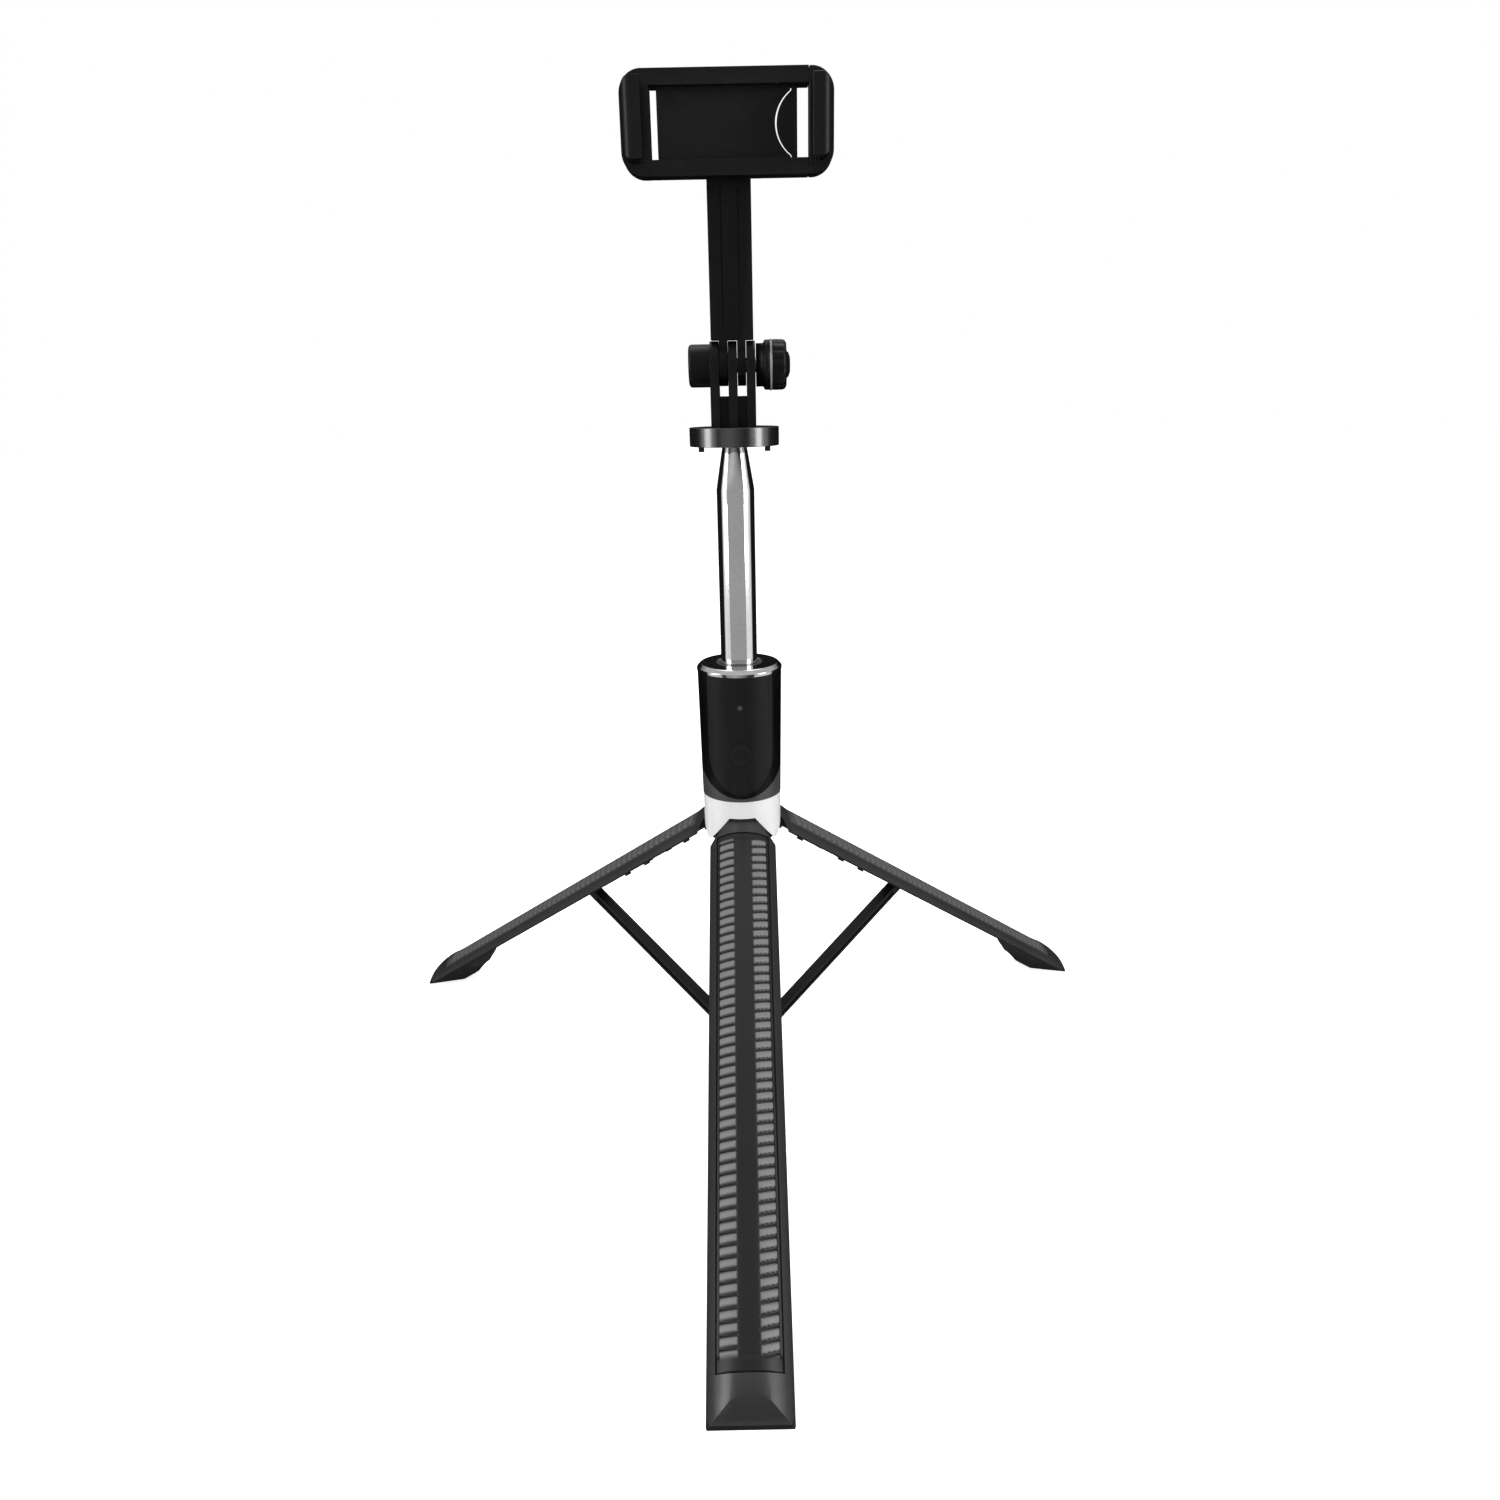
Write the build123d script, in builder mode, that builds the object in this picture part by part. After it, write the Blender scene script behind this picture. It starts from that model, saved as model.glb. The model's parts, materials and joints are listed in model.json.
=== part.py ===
from build123d import *
from math import asin, atan2, cos, degrees, hypot, radians, sin, sqrt, tan
import os

# Selfie stick with three fold-out legs, a telescopic pole, a tilting phone
# holder and a lift-out remote control. Millimetres. The origin is on the floor
# under the pole axis, +Z is up and -Y is the front, where the first leg stands.

# --- Driving dimensions ---------------------------------------------------

# Fits
running_gap = 0.08          # radial clearance of a pin, shaft or slide in its bore
side_gap = 0.3              # clearance beside a part that swings or slides
seat_gap = 0.1              # clearance around a part that is laid into a pocket

# Legs
handle_radius = 14.4        # outside radius of the three legs folded together
shell_wall = 1.4
leg_reach = 197.0           # hinge to toe, along the leg
hinge_radius = 10.4         # leg hinges and hub pivots, out from the pole axis
hinge_height = 114.0
seam_gap = 0.18             # from each leg's edge to the seam with its neighbour
grip_half_angle = 43.0
grip_depth = 0.7
grip_start = 6.4            # below the hinge, along the leg
grip_end = 184.0
shoulder_half_width = 3.6   # flat top edge of the leg shell
shoulder_drop = 9.2
shell_top = 1.0             # above the hinge
toe_inset = 6.6             # the toe lies this far inside the crown's line
toe_curve = 13.0            # length of the curve from the crown to the toe
sole_length = 13.0
heel_rise = 11.0            # height of the heel's upper end
heel_back = 25.0            # toe to the heel's upper end
foot_root = 29.0            # toe to where the foot meets the shell
foot_core = 1.3             # the folded feet leave this radius free
heel_sag = 0.3              # share of the rise at the middle of the heel's curve
pad_thickness = 1.6
peg_radius = 1.4
peg_offset = 8.0
peg_places = (16.0, 40.0, 52.0)
spine_start = 5.6
spine_end = 148.0
spine_wall = 1.2
spine_base = 0.6
spine_depth = 7.8           # inner edge of the spine's walls, from the pole axis

# Hinges and links
tongue_width = 5.2
hinge_eye = 2.2             # radius of the hinge tongue and of the spider's ears
hinge_pin_radius = 1.0
ear_thickness = 1.4
link_eye = 1.9              # radius of every eye of a brace
link_pin_radius = 0.75
link_down = 82.0            # hinge to brace pivot, along the leg
link_in = 1.5               # hinge to brace pivot, towards the pole
brace_width = 5.0
brace_thickness = 3.4
brace_groove = 0.6
groove_width = 1.4
groove_margin = 5.7         # brace pivots to the ends of its grooves
fork_clearance = 0.7        # around the hub's tongue, in the brace's fork
hub_tongue = 2.4

# Head
collar_radius = 14.7
collar_wall = 1.4
collar_tip = 106.6          # height of the points between the legs
collar_notch = 117.4        # height of the notches over the legs
notch_half_width = 4.8
head_bottom = 124.2
head_top = 172.0
head_radius_low = 14.9
head_radius_high = 15.6
head_wall = 1.5
head_floor = 1.2
bushing_radius = 8.5
core_radius = 7.9           # tube that guides the pole through the head
ring_height = 2.6
ring_radius = 15.8
ring_bevel = 1.4
spider_thickness = 2.6
flange_thickness = 1.0
skirt_radius = 12.7
skirt_wall = 0.8
skirt_opening = 5.2         # half width left free round each leg hinge
screw_radius = 1.0
screw_circle = 9.7 

# Remote control
cradle_half_width = 16.0
cradle_arc_height = 15.0
cradle_back = -1.0
remote_half_width = 12.0
remote_arc_height = 15.5
remote_bottom = 126.8
remote_back = -8.2
remote_wall = 1.2
remote_floor = 0.8
remote_seam = -10.2
remote_cavity_front = -13.2
board_back = -10.6
board_thickness = 0.5
board_width = 15.4
board_length = 34.0
switch_height = 0.4
cell_radius = 8.0
cell_thickness = 1.4
cell_back = -9.1
cell_height = 155.8
button_radius = 4.6
button_flange = 5.2
button_flange_front = -12.8
button_flange_thickness = 0.5
button_plunger = 1.5
button_height = 142.8
button_travel = 0.6
led_radius = 0.9
led_height = 160.8

# Pole
tube_radius = 6.7
tube_wall = 0.5
tube_step = 0.85            # each section's radius is this much smaller
flat_depth = 0.68           # the flat along the front of every section
tube_top = 232.4
section_count = 4
bush_length = 10.0
lip_length = 1.5
ferrule_height = 19.6
ferrule_straight = 4.8
ferrule_neck = 4.3
hub_core = 6.9
hub_height = 6.4
spigot_length = 8.0

# Swivel and fork
plate_radius = 15.6
plate_thickness = 6.3
stud_radius = 1.0
stud_offset = 11.6
stud_drop = 2.0
prong_width = 3.0
slot_width = 3.2
prong_radius = 7.9
pivot_rise = 20.2           # plate top to tilt pivot
channel_depth = 2.5         # of the channels below the slots, front and back
slot_floor = 10.0           # tilt pivot down to the floor of the slots
nut_block_width = 7.3
nut_block_radius = 7.0
bolt_radius = 2.4
nut_flats = 8.0
nut_thickness = 3.8

# Tilt knob
knob_neck_radius = 7.1
knob_neck_width = 3.0
knob_radius = 8.4
knob_width = 7.5
knob_dome_radius = 4.4
knob_dome_width = 1.2
knob_lobes = 16
lobe_radius = 1.5
lobe_offset = 1.0           # lobe cutters stand this far outside the knob
lobe_start = 1.6            # plain band of the knob, next to the fork
knob_rounding = 1.6
dome_taper = 35
block_rounding = 1.2
nut_sink = 1.0              # nut's outer face below the block's end

# Arm
tongue_radius = 6.7
arm_width = 14.4
arm_depth = 9.0
arm_shoulder = 9.4          # tilt pivot to where the tongues have joined the arm
arm_groove_offset = 2.85
arm_groove_depth = 0.4
arm_groove_width = 1.0
holder_rise = 71.8          # tilt pivot to the holder's own pivot

# Phone holder
holder_width = 67.0
holder_height = 30.2
holder_corner = 7.0
rail_depth = 7.4            # thickness of the rails behind the phone
jaw_reach = 8.6             # the jaws stand this far in front of the rails
end_width = 9.2             # width of the holder's frame at each end
jaw_half = 11.5             # half the height of the jaws
jaw_wall = 4.5
jaw_margin = 1.2            # outline of the holder to the jaws' outer faces
jaw_corner = 3.0
jaw_lip = 1.4
end_lap = 1.4
jaw_lip_depth = 2.0
slot_gap = 2.2              # see-through slot beside each jaw
rail_height = 4.7
panel_thickness = 2.0
panel_recess = 3.2
tab_reach = 7.0             # the tab's depth into the panel
tab_gap = 0.5
tab_radius = 10.9
slide_bar_height = 2.2
slide_bar_depth = 3.0
slide_bar_length = 44.0
bar_cover = 1.0             # rail left in front of each slide bar
link_width = 1.8
foot_length = 1.8           # the foot of each slide bar, which the spring pushes
spring_stop = 1.7           # wall left at the rail's end for the spring
spring_radius = 1.0
spring_wire = 0.4
pad_depth = 0.8
pad_half = 11.0
cover_middle = 14.0
holder_pin_radius = 2.5
pin_cover = 0.8             # panel left in front of the pin
cover_thickness = 1.2

# --- Sizes that follow ----------------------------------------------------

crown_x = handle_radius - hinge_radius      # crown of the folded leg, out from its hinge
toe_along = sqrt(leg_reach**2 - (crown_x - toe_inset) ** 2)
leg_slope = degrees(asin(hinge_height / leg_reach) + atan2(crown_x - toe_inset, toe_along))
fold_angle = 90 - leg_slope
link_length = hypot(link_down, link_in)
link_slope = leg_slope + degrees(atan2(link_in, link_down))
hub_pivot = hinge_height - 2 * link_length * sin(radians(link_slope))
leg_angles = {"front": 270, "left": 150, "right": 30}
ear_inner = tongue_width / 2 + side_gap
ear_outer = ear_inner + ear_thickness
tine = (brace_width - hub_tongue) / 2 - side_gap / 2
tube_base = hub_pivot + hub_height / 2
plate_bottom = tube_top + ferrule_height
plate_top = plate_bottom + plate_thickness
tilt_height = plate_top + pivot_rise
fork_half = prong_width * 1.5 + slot_width
nut_block_end = fork_half + nut_block_width
holder_pivot = tilt_height + holder_rise
holder_back = -(arm_depth / 2 + side_gap)
rail_front = holder_back - rail_depth
jaw_front = rail_front - jaw_reach
frame_inner = holder_width / 2 - end_width
panel_half = frame_inner - slot_gap
panel_front = rail_front + panel_recess
rail_inner = holder_height / 2 - rail_height

os.makedirs("parts", exist_ok=True)


def save(part, name):
    part.label = name
    export_step(part, f"parts/{name}.step")


# --- Places of the linkage ------------------------------------------------
# Leg pieces are drawn folded down: the hinge at the origin, +X outwards from
# the pole, the leg along -Z. A brace is drawn with its leg pivot at the origin
# and its hub pivot straight below. Both are then turned to the open position.


def leg_place(angle):
    return (
        Location((0, 0, 0), (0, 0, angle))
        * Location((hinge_radius, 0, hinge_height))
        * Location((0, 0, 0), (0, -fold_angle, 0))
    )


def brace_place(angle):
    reach = hinge_radius + link_length * cos(radians(link_slope))
    drop = hinge_height - link_length * sin(radians(link_slope))
    return (
        Location((0, 0, 0), (0, 0, angle))
        * Location((reach, 0, drop))
        * Location((0, 0, 0), (0, 90 - link_slope, 0))
    )


def leg_point(reach, height):
    """A point of the open leg, from its floor position, in the folded leg's frame."""
    out = reach - hinge_radius
    down = hinge_height - height
    slope = radians(leg_slope)
    along = out * cos(slope) + down * sin(slope)
    inward = -out * sin(slope) + down * cos(slope)
    return (-inward, -along)


# --- Leg pieces -----------------------------------------------------------

axis_x = -hinge_radius      # the pole axis in the folded leg's frame
shell_inside = handle_radius - shell_wall
leg_edge = handle_radius * sin(radians(60))
channel_half = brace_width / 2 + side_gap + running_gap
spine_half = channel_half + spine_wall
toe_reach = hinge_radius + sqrt(leg_reach**2 - hinge_height**2)
toe = leg_point(toe_reach, 0)
ball = leg_point(toe_reach - sole_length, 0)
heel = leg_point(toe_reach - heel_back, heel_rise)
heel_middle = leg_point(toe_reach - (sole_length + heel_back) / 2, heel_rise * heel_sag)
straight_down = (-cos(radians(leg_slope)), -sin(radians(leg_slope)))    # in the folded leg's frame
level_in = (-sin(radians(leg_slope)), cos(radians(leg_slope)))
leg_back = (0, 1)
outline_clear = crown_x + 0.05
outline_top = 5.0
inner_limit = axis_x + 5.2      # just inside the long edges of the shell


def leg_section(inner, outer):
    """A third of the handle's ring, short of the seams on both sides."""
    apex = axis_x + seam_gap / sin(radians(60))
    reach = 2 * handle_radius
    with Locations((axis_x, 0)):
        Circle(outer)
        Circle(inner, mode=Mode.SUBTRACT)
    edge = reach * tan(radians(60))
    Polygon((apex, 0), (apex + reach, edge), (apex + reach, -edge), align=None, mode=Mode.INTERSECT)


def grip_section(inner, outer):
    reach = 2 * handle_radius
    edge = reach * tan(radians(grip_half_angle))
    with Locations((axis_x, 0)):
        Circle(outer)
        Circle(inner, mode=Mode.SUBTRACT)
    Polygon(
        (axis_x, 0), (axis_x + reach, edge), (axis_x + reach, -edge), align=None, mode=Mode.INTERSECT
    )


# Outline of the leg from the side: crown, rounded toe, sole and heel.
with BuildLine() as side_outline:
    Polyline((inner_limit, toe[1] + foot_root), (inner_limit, outline_top), (outline_clear, outline_top))
    Line((outline_clear, outline_top), (outline_clear, toe[1] + toe_curve))
    Spline((outline_clear, toe[1] + toe_curve), toe, tangents=((0, -1), straight_down))
    Line(toe, ball)
    Spline(ball, heel_middle, heel, tangents=(level_in, leg_back))
    Line(heel, (inner_limit, toe[1] + foot_root))


def pad_area():
    """The strip along the sole that is taken up by the rubber pad."""
    Polygon(
        leg_point(toe_reach + pad_thickness, -1),
        leg_point(toe_reach - heel_back, -1),
        leg_point(toe_reach - heel_back, pad_thickness),
        leg_point(toe_reach + pad_thickness, pad_thickness),
        align=None,
    )


with BuildPart() as shell:
    with BuildSketch(Plane.XY.offset(shell_top)):
        leg_section(shell_inside, handle_radius)
    extrude(amount=-(leg_reach + 2 * shell_top))
    with BuildSketch(Plane.XY.offset(toe[1] + foot_root)):
        leg_section(foot_core, handle_radius)
    extrude(amount=-(foot_root + shell_top))
    with BuildSketch(Plane.YZ.offset(axis_x + spine_depth - 2)):
        with Locations(*[(side * peg_offset, -place) for place in peg_places for side in (1, -1)]):
            Circle(peg_radius)
    extrude(amount=handle_radius - spine_depth - 1.4)
    with BuildSketch(Plane.XZ):
        make_face(side_outline.line.edges())
    extrude(amount=handle_radius, both=True, mode=Mode.INTERSECT)
    with BuildSketch(Plane.YZ):
        Polygon(
            (shoulder_half_width, shell_top + 1),
            (shoulder_half_width, shell_top),
            (leg_edge, shell_top - shoulder_drop),
            (leg_edge + 1, shell_top - shoulder_drop),
            (leg_edge + 1, shell_top + 1),
            align=None,
        )
        mirror(about=Plane.YZ)
    extrude(amount=handle_radius, both=True, mode=Mode.SUBTRACT)
    with BuildSketch(Plane.XY.offset(-grip_start)):
        grip_section(handle_radius - grip_depth, handle_radius + 1)
    extrude(amount=grip_start - grip_end, mode=Mode.SUBTRACT)
    with BuildSketch(Plane.XZ):
        Circle(hinge_eye + side_gap)
    extrude(amount=ear_outer + side_gap, both=True, mode=Mode.SUBTRACT)
    with BuildSketch(Plane.XZ):
        pad_area()
    extrude(amount=handle_radius, both=True, mode=Mode.SUBTRACT)

with BuildPart() as pad:
    with BuildSketch(Plane.XY.offset(toe[1] + foot_root)):
        leg_section(foot_core, handle_radius)
    extrude(amount=-(foot_root + shell_top))
    with BuildSketch(Plane.XZ):
        make_face(side_outline.line.edges())
    extrude(amount=handle_radius, both=True, mode=Mode.INTERSECT)
    with BuildSketch(Plane.XZ):
        pad_area()
    extrude(amount=handle_radius, both=True, mode=Mode.INTERSECT)

with BuildPart() as grip:
    with BuildSketch(Plane.XY.offset(-grip_start)):
        grip_section(handle_radius - grip_depth, handle_radius)
    extrude(amount=grip_start - grip_end)

with BuildPart() as spine:
    with BuildSketch(Plane.XY.offset(-spine_start)):
        with Locations((axis_x, 0)):
            Circle(shell_inside)
        with Locations((axis_x + spine_depth + handle_radius / 2, 0)):
            Rectangle(handle_radius, 2 * spine_half, mode=Mode.INTERSECT)
        with Locations((axis_x + shell_inside - spine_base - handle_radius / 2, 0)):
            Rectangle(handle_radius, 2 * channel_half, mode=Mode.SUBTRACT)
    extrude(amount=spine_start - spine_end)
    with BuildSketch(Plane.XY.offset(-spine_start)):
        with Locations((axis_x, 0)):
            Circle(shell_inside)
        with Locations((handle_radius / 2 - hinge_eye, 0)):
            Rectangle(handle_radius, 2 * spine_half, mode=Mode.INTERSECT)
    extrude(amount=-spine_wall * 2)
    with BuildSketch(Plane.XZ):
        Circle(hinge_eye)
        with Locations((0, -(spine_start + 1) / 2)):
            Rectangle(2 * hinge_eye, spine_start + 1)
    extrude(amount=tongue_width / 2, both=True)
    for side in (1, -1):
        with BuildSketch(Plane.XZ.offset(side * channel_half)):
            with Locations((-link_in, -link_down)):
                Circle(link_eye)
        extrude(amount=side * spine_wall)
    with BuildSketch(Plane.XZ):
        Circle(hinge_pin_radius + running_gap)
    extrude(amount=spine_half, both=True, mode=Mode.SUBTRACT)
    with BuildSketch(Plane.XZ):
        with Locations((-link_in, -link_down)):
            Circle(link_pin_radius)
    extrude(amount=spine_half, both=True, mode=Mode.SUBTRACT)

with BuildPart() as brace_pin:
    with BuildSketch(Plane.XZ):
        with Locations((-link_in, -link_down)):
            Circle(link_pin_radius)
    extrude(amount=spine_half, both=True)

with BuildPart() as brace:
    with BuildSketch(Plane.XZ):
        with Locations((0, -link_length / 2)):
            Rectangle(brace_thickness, link_length)
        with Locations((0, 0), (0, -link_length)):
            Circle(link_eye)
    extrude(amount=brace_width / 2, both=True)
    for side in (1, -1):
        with BuildSketch(Plane.XZ.offset(side * brace_width / 2)):
            with Locations((0, -link_length / 2)):
                SlotOverall(link_length - 2 * groove_margin, groove_width, rotation=90)
        extrude(amount=-side * brace_groove, mode=Mode.SUBTRACT)
    with BuildSketch(Plane.XZ):
        with Locations((0, -link_length)):
            Rectangle(3 * link_eye, 2 * (link_eye + fork_clearance))
    extrude(amount=brace_width / 2 - tine, both=True, mode=Mode.SUBTRACT)
    with BuildSketch(Plane.XZ):
        with Locations((0, 0), (0, -link_length)):
            Circle(link_pin_radius + running_gap)
    extrude(amount=brace_width, both=True, mode=Mode.SUBTRACT)

for side_name, angle in leg_angles.items():
    place = leg_place(angle)
    save(place * shell.part, f"leg_shell_{side_name}")
    save(place * pad.part, f"foot_pad_{side_name}")
    save(place * grip.part, f"leg_grip_{side_name}")
    save(place * spine.part, f"leg_spine_{side_name}")
    save(place * brace_pin.part, f"brace_pin_{side_name}")
    save(brace_place(angle) * brace.part, f"brace_{side_name}")

# --- Spider, hinge pins and collar ----------------------------------------

spider_top = head_bottom - flange_thickness
spider_bottom = spider_top - spider_thickness
collar_inside = collar_radius - collar_wall
collar_edge = collar_radius * sin(radians(60))
screw_angles = (90, 210, 330)
screw_spots = [
    (screw_circle * cos(radians(angle)), screw_circle * sin(radians(angle))) for angle in screw_angles
]

with BuildPart() as ears:
    for side in (1, -1):
        with BuildSketch(Plane.XZ.offset(side * ear_inner)):
            with Locations((hinge_radius, hinge_height)):
                Circle(hinge_eye)
            neck_height = spider_bottom + 1 - hinge_height
            with Locations((hinge_radius - hinge_eye / 2, hinge_height + neck_height / 2)):
                Rectangle(hinge_eye, neck_height)
            with Locations((hinge_radius, hinge_height)):
                Circle(hinge_pin_radius, mode=Mode.SUBTRACT)
        extrude(amount=side * ear_thickness)

# Dark walls inside the collar, between the legs
with BuildPart() as skirt:
    with BuildSketch(Plane.XY.offset(collar_tip)):
        Circle(skirt_radius)
        Circle(skirt_radius - skirt_wall, mode=Mode.SUBTRACT)
        for angle in leg_angles.values():
            with Locations(Rotation(0, 0, angle) * Location((hinge_radius + link_eye, 0))):
                Rectangle(2 * hinge_radius, 2 * skirt_opening, mode=Mode.SUBTRACT)
    extrude(amount=spider_bottom - collar_tip)

with BuildPart() as hinge_spider:
    with BuildSketch(Plane.XY.offset(spider_bottom)):
        Circle(collar_inside - seat_gap)
        Circle(tube_radius + running_gap, mode=Mode.SUBTRACT)
        with Locations(*screw_spots):
            Circle(screw_radius, mode=Mode.SUBTRACT)
    extrude(amount=spider_thickness)
    add(skirt.part)
    with PolarLocations(0, 3, start_angle=30):
        add(ears.part)
save(hinge_spider.part, "hinge_spider")

with BuildPart() as leg_hinge_pins:
    with BuildSketch(Plane.XZ):
        with Locations((hinge_radius, hinge_height)):
            Circle(hinge_pin_radius)
    extrude(amount=ear_outer, both=True)
pins = [Location((0, 0, 0), (0, 0, angle)) * leg_hinge_pins.part for angle in leg_angles.values()]
save(Compound(children=[pin.solid() for pin in pins]), "leg_hinge_pins")

with BuildPart() as notch:
    with BuildSketch(Plane.YZ.offset(collar_radius / 4)):
        run = (collar_edge - notch_half_width) / (collar_notch - collar_tip)
        low = collar_tip - 1
        low_half = collar_edge + run
        Polygon(
            (-notch_half_width, collar_notch),
            (notch_half_width, collar_notch),
            (low_half, low),
            (-low_half, low),
            align=None,
        )
    extrude(amount=collar_radius)

with BuildPart() as collar:
    tip_blunt = 0.5
    with BuildSketch(Plane.XY.offset(collar_tip + tip_blunt)):
        Circle(collar_radius)
        Circle(collar_inside, mode=Mode.SUBTRACT)
    extrude(amount=head_bottom - collar_tip - tip_blunt)
    with BuildSketch(Plane.XY.offset(spider_top)):
        Circle(collar_inside + collar_wall / 2)
        Circle(core_radius, mode=Mode.SUBTRACT)
    extrude(amount=flange_thickness)
    with PolarLocations(0, 3, start_angle=30):
        add(notch.part, mode=Mode.SUBTRACT)
    with BuildSketch(Plane.XY.offset(spider_top)):
        with Locations(*screw_spots):
            Circle(screw_radius + seat_gap)
    extrude(amount=flange_thickness, mode=Mode.SUBTRACT)
save(collar.part, "collar")

# --- Head -----------------------------------------------------------------

head_height = head_top - head_bottom
bore_radius = tube_radius + side_gap
screw_length = 6.0


def head_shape(shrink=0.0, mode=Mode.ADD):
    with Locations((0, 0, head_bottom + head_height / 2)):
        Cone(head_radius_low - shrink, head_radius_high - shrink, head_height, mode=mode)


def u_outline(half_width, arc_height, bottom):
    """A tall outline, straight sided, with an elliptical lower end."""
    centre = bottom + arc_height
    with Locations((0, centre)):
        Ellipse(half_width, arc_height)
    with Locations((0, (centre + head_top) / 2)):
        Rectangle(2 * half_width, head_top - centre)


def remote_outline(shrink=0.0):
    u_outline(remote_half_width - shrink, remote_arc_height - shrink, remote_bottom + shrink)


with BuildPart() as cradle_seat:
    with BuildSketch(Plane.XZ.offset(-cradle_back)):
        u_outline(cradle_half_width, cradle_arc_height, head_bottom + head_floor)
    extrude(amount=2 * head_radius_high)
    with BuildSketch(Plane.XY.offset(head_bottom)):
        Circle(core_radius + side_gap)
    extrude(amount=head_height, mode=Mode.SUBTRACT)

with BuildPart() as head_housing:
    head_shape()
    with BuildSketch(Plane.XY.offset(head_bottom + head_floor)):
        Circle(head_radius_low - head_wall)
        Circle(core_radius, mode=Mode.SUBTRACT)
        with Locations((0, head_radius_low + head_wall)):
            Rectangle(4 * head_radius_low, 2 * head_radius_low, mode=Mode.INTERSECT)
    extrude(amount=head_height, mode=Mode.SUBTRACT)
    with BuildSketch(Plane.XY.offset(head_bottom)):
        with Locations(screw_spots[0]):
            Circle(2 * screw_radius)
    extrude(amount=screw_length + head_floor)
    with BuildSketch(Plane.XY.offset(head_bottom)):
        Circle(bore_radius)
    extrude(amount=head_height, mode=Mode.SUBTRACT)
    with BuildSketch(Plane.XY.offset(head_bottom)):
        with Locations(*screw_spots):
            Circle(screw_radius)
    extrude(amount=screw_length - spider_thickness, mode=Mode.SUBTRACT)
    add(cradle_seat.part, mode=Mode.SUBTRACT)
save(head_housing.part, "head_housing")

with BuildPart() as remote_cradle:
    add(cradle_seat.part)
    head_shape(mode=Mode.INTERSECT)
    with BuildSketch(Plane.XZ.offset(-remote_back - seat_gap)):
        remote_outline(-seat_gap)
    extrude(amount=2 * head_radius_high, mode=Mode.SUBTRACT)
    with BuildSketch(Plane.XY.offset(head_bottom)):
        with Locations(*screw_spots):
            Circle(screw_radius)
    extrude(amount=screw_length - spider_thickness, mode=Mode.SUBTRACT)
save(remote_cradle.part, "remote_cradle")

with BuildPart() as head_screws:
    for spot in screw_spots:
        with BuildSketch(Plane.XY.offset(spider_bottom)):
            with Locations(spot):
                Circle(screw_radius)
        extrude(amount=screw_length)
        with BuildSketch(Plane.XY.offset(spider_bottom)):
            with Locations(spot):
                Circle(2 * screw_radius)
        extrude(amount=-screw_radius)
save(head_screws.part, "head_screws")

with BuildPart() as head_top_ring:
    with BuildSketch(Plane.XY.offset(head_top)):
        Circle(ring_radius)
        Circle(bushing_radius, mode=Mode.SUBTRACT)
    extrude(amount=ring_height)
    rim = head_top_ring.edges().filter_by(GeomType.CIRCLE).group_by(Axis.Z)[-1].sort_by(SortBy.RADIUS)[-1]
    chamfer(rim, ring_bevel)
save(head_top_ring.part, "head_top_ring")


def d_profile(radius):
    """A round section with the flat that keeps the pole from turning."""
    Circle(radius)
    with Locations((0, flat_depth)):
        Rectangle(2 * radius, 2 * radius, mode=Mode.INTERSECT)


with BuildPart() as tube_bushing:
    with BuildSketch(Plane.XY.offset(head_top)):
        Circle(bushing_radius)
    extrude(amount=ring_height - seat_gap)
    with BuildSketch(Plane.XY.offset(head_top)):
        d_profile(tube_radius + running_gap)
    extrude(amount=ring_height, mode=Mode.SUBTRACT)
save(tube_bushing.part, "tube_bushing")

# --- Remote control -------------------------------------------------------

cavity_inset = remote_wall

with BuildPart() as remote_rear_shell:
    with BuildSketch(Plane.XZ.offset(-remote_back)):
        remote_outline()
    extrude(amount=remote_back - remote_seam)
    head_shape(mode=Mode.INTERSECT)
    with BuildSketch(Plane.XZ.offset(-remote_back + remote_floor)):
        remote_outline(cavity_inset)
    extrude(amount=head_radius_high, mode=Mode.SUBTRACT)
save(remote_rear_shell.part, "remote_rear_shell")

with BuildPart() as remote_cavity:
    with BuildSketch(Plane.XZ.offset(-remote_back)):
        remote_outline(cavity_inset)
    extrude(amount=remote_back - remote_cavity_front)
    head_shape(shrink=cavity_inset, mode=Mode.INTERSECT)
    with BuildSketch(Plane.XY.offset(head_top - remote_wall)):
        Circle(2 * head_radius_high)
    extrude(amount=head_height, mode=Mode.SUBTRACT)

with BuildPart() as remote_face:
    with BuildSketch(Plane.XZ.offset(-remote_seam)):
        remote_outline()
    extrude(amount=head_radius_high)
    head_shape(mode=Mode.INTERSECT)
    add(remote_cavity.part, mode=Mode.SUBTRACT)
    with BuildSketch(Plane.XZ.offset(-remote_seam)):
        with Locations((0, button_height)):
            Circle(button_radius + seat_gap)
        with Locations((0, led_height)):
            Circle(led_radius)
    extrude(amount=head_radius_high, mode=Mode.SUBTRACT)
save(remote_face.part, "remote_face")

with BuildPart() as led_window:
    with BuildSketch(Plane.XZ.offset(-remote_cavity_front)):
        with Locations((0, led_height)):
            Circle(led_radius)
    extrude(amount=head_radius_high)
    head_shape(mode=Mode.INTERSECT)
save(led_window.part, "led_window")

board_middle = (button_height + cell_height) / 2
switch_front = -board_back + board_thickness + switch_height

with BuildPart() as remote_board:
    with BuildSketch(Plane.XZ.offset(-board_back)):
        with Locations((0, board_middle)):
            RectangleRounded(board_width, board_length, remote_wall)
    extrude(amount=board_thickness)
    with BuildSketch(Plane.XZ.offset(-board_back + board_thickness)):
        with Locations((0, button_height)):
            Rectangle(button_radius, button_radius)
        with Locations((0, led_height)):
            Rectangle(led_radius, led_radius * 2)
    extrude(amount=switch_height)
save(remote_board.part, "remote_board")

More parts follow.
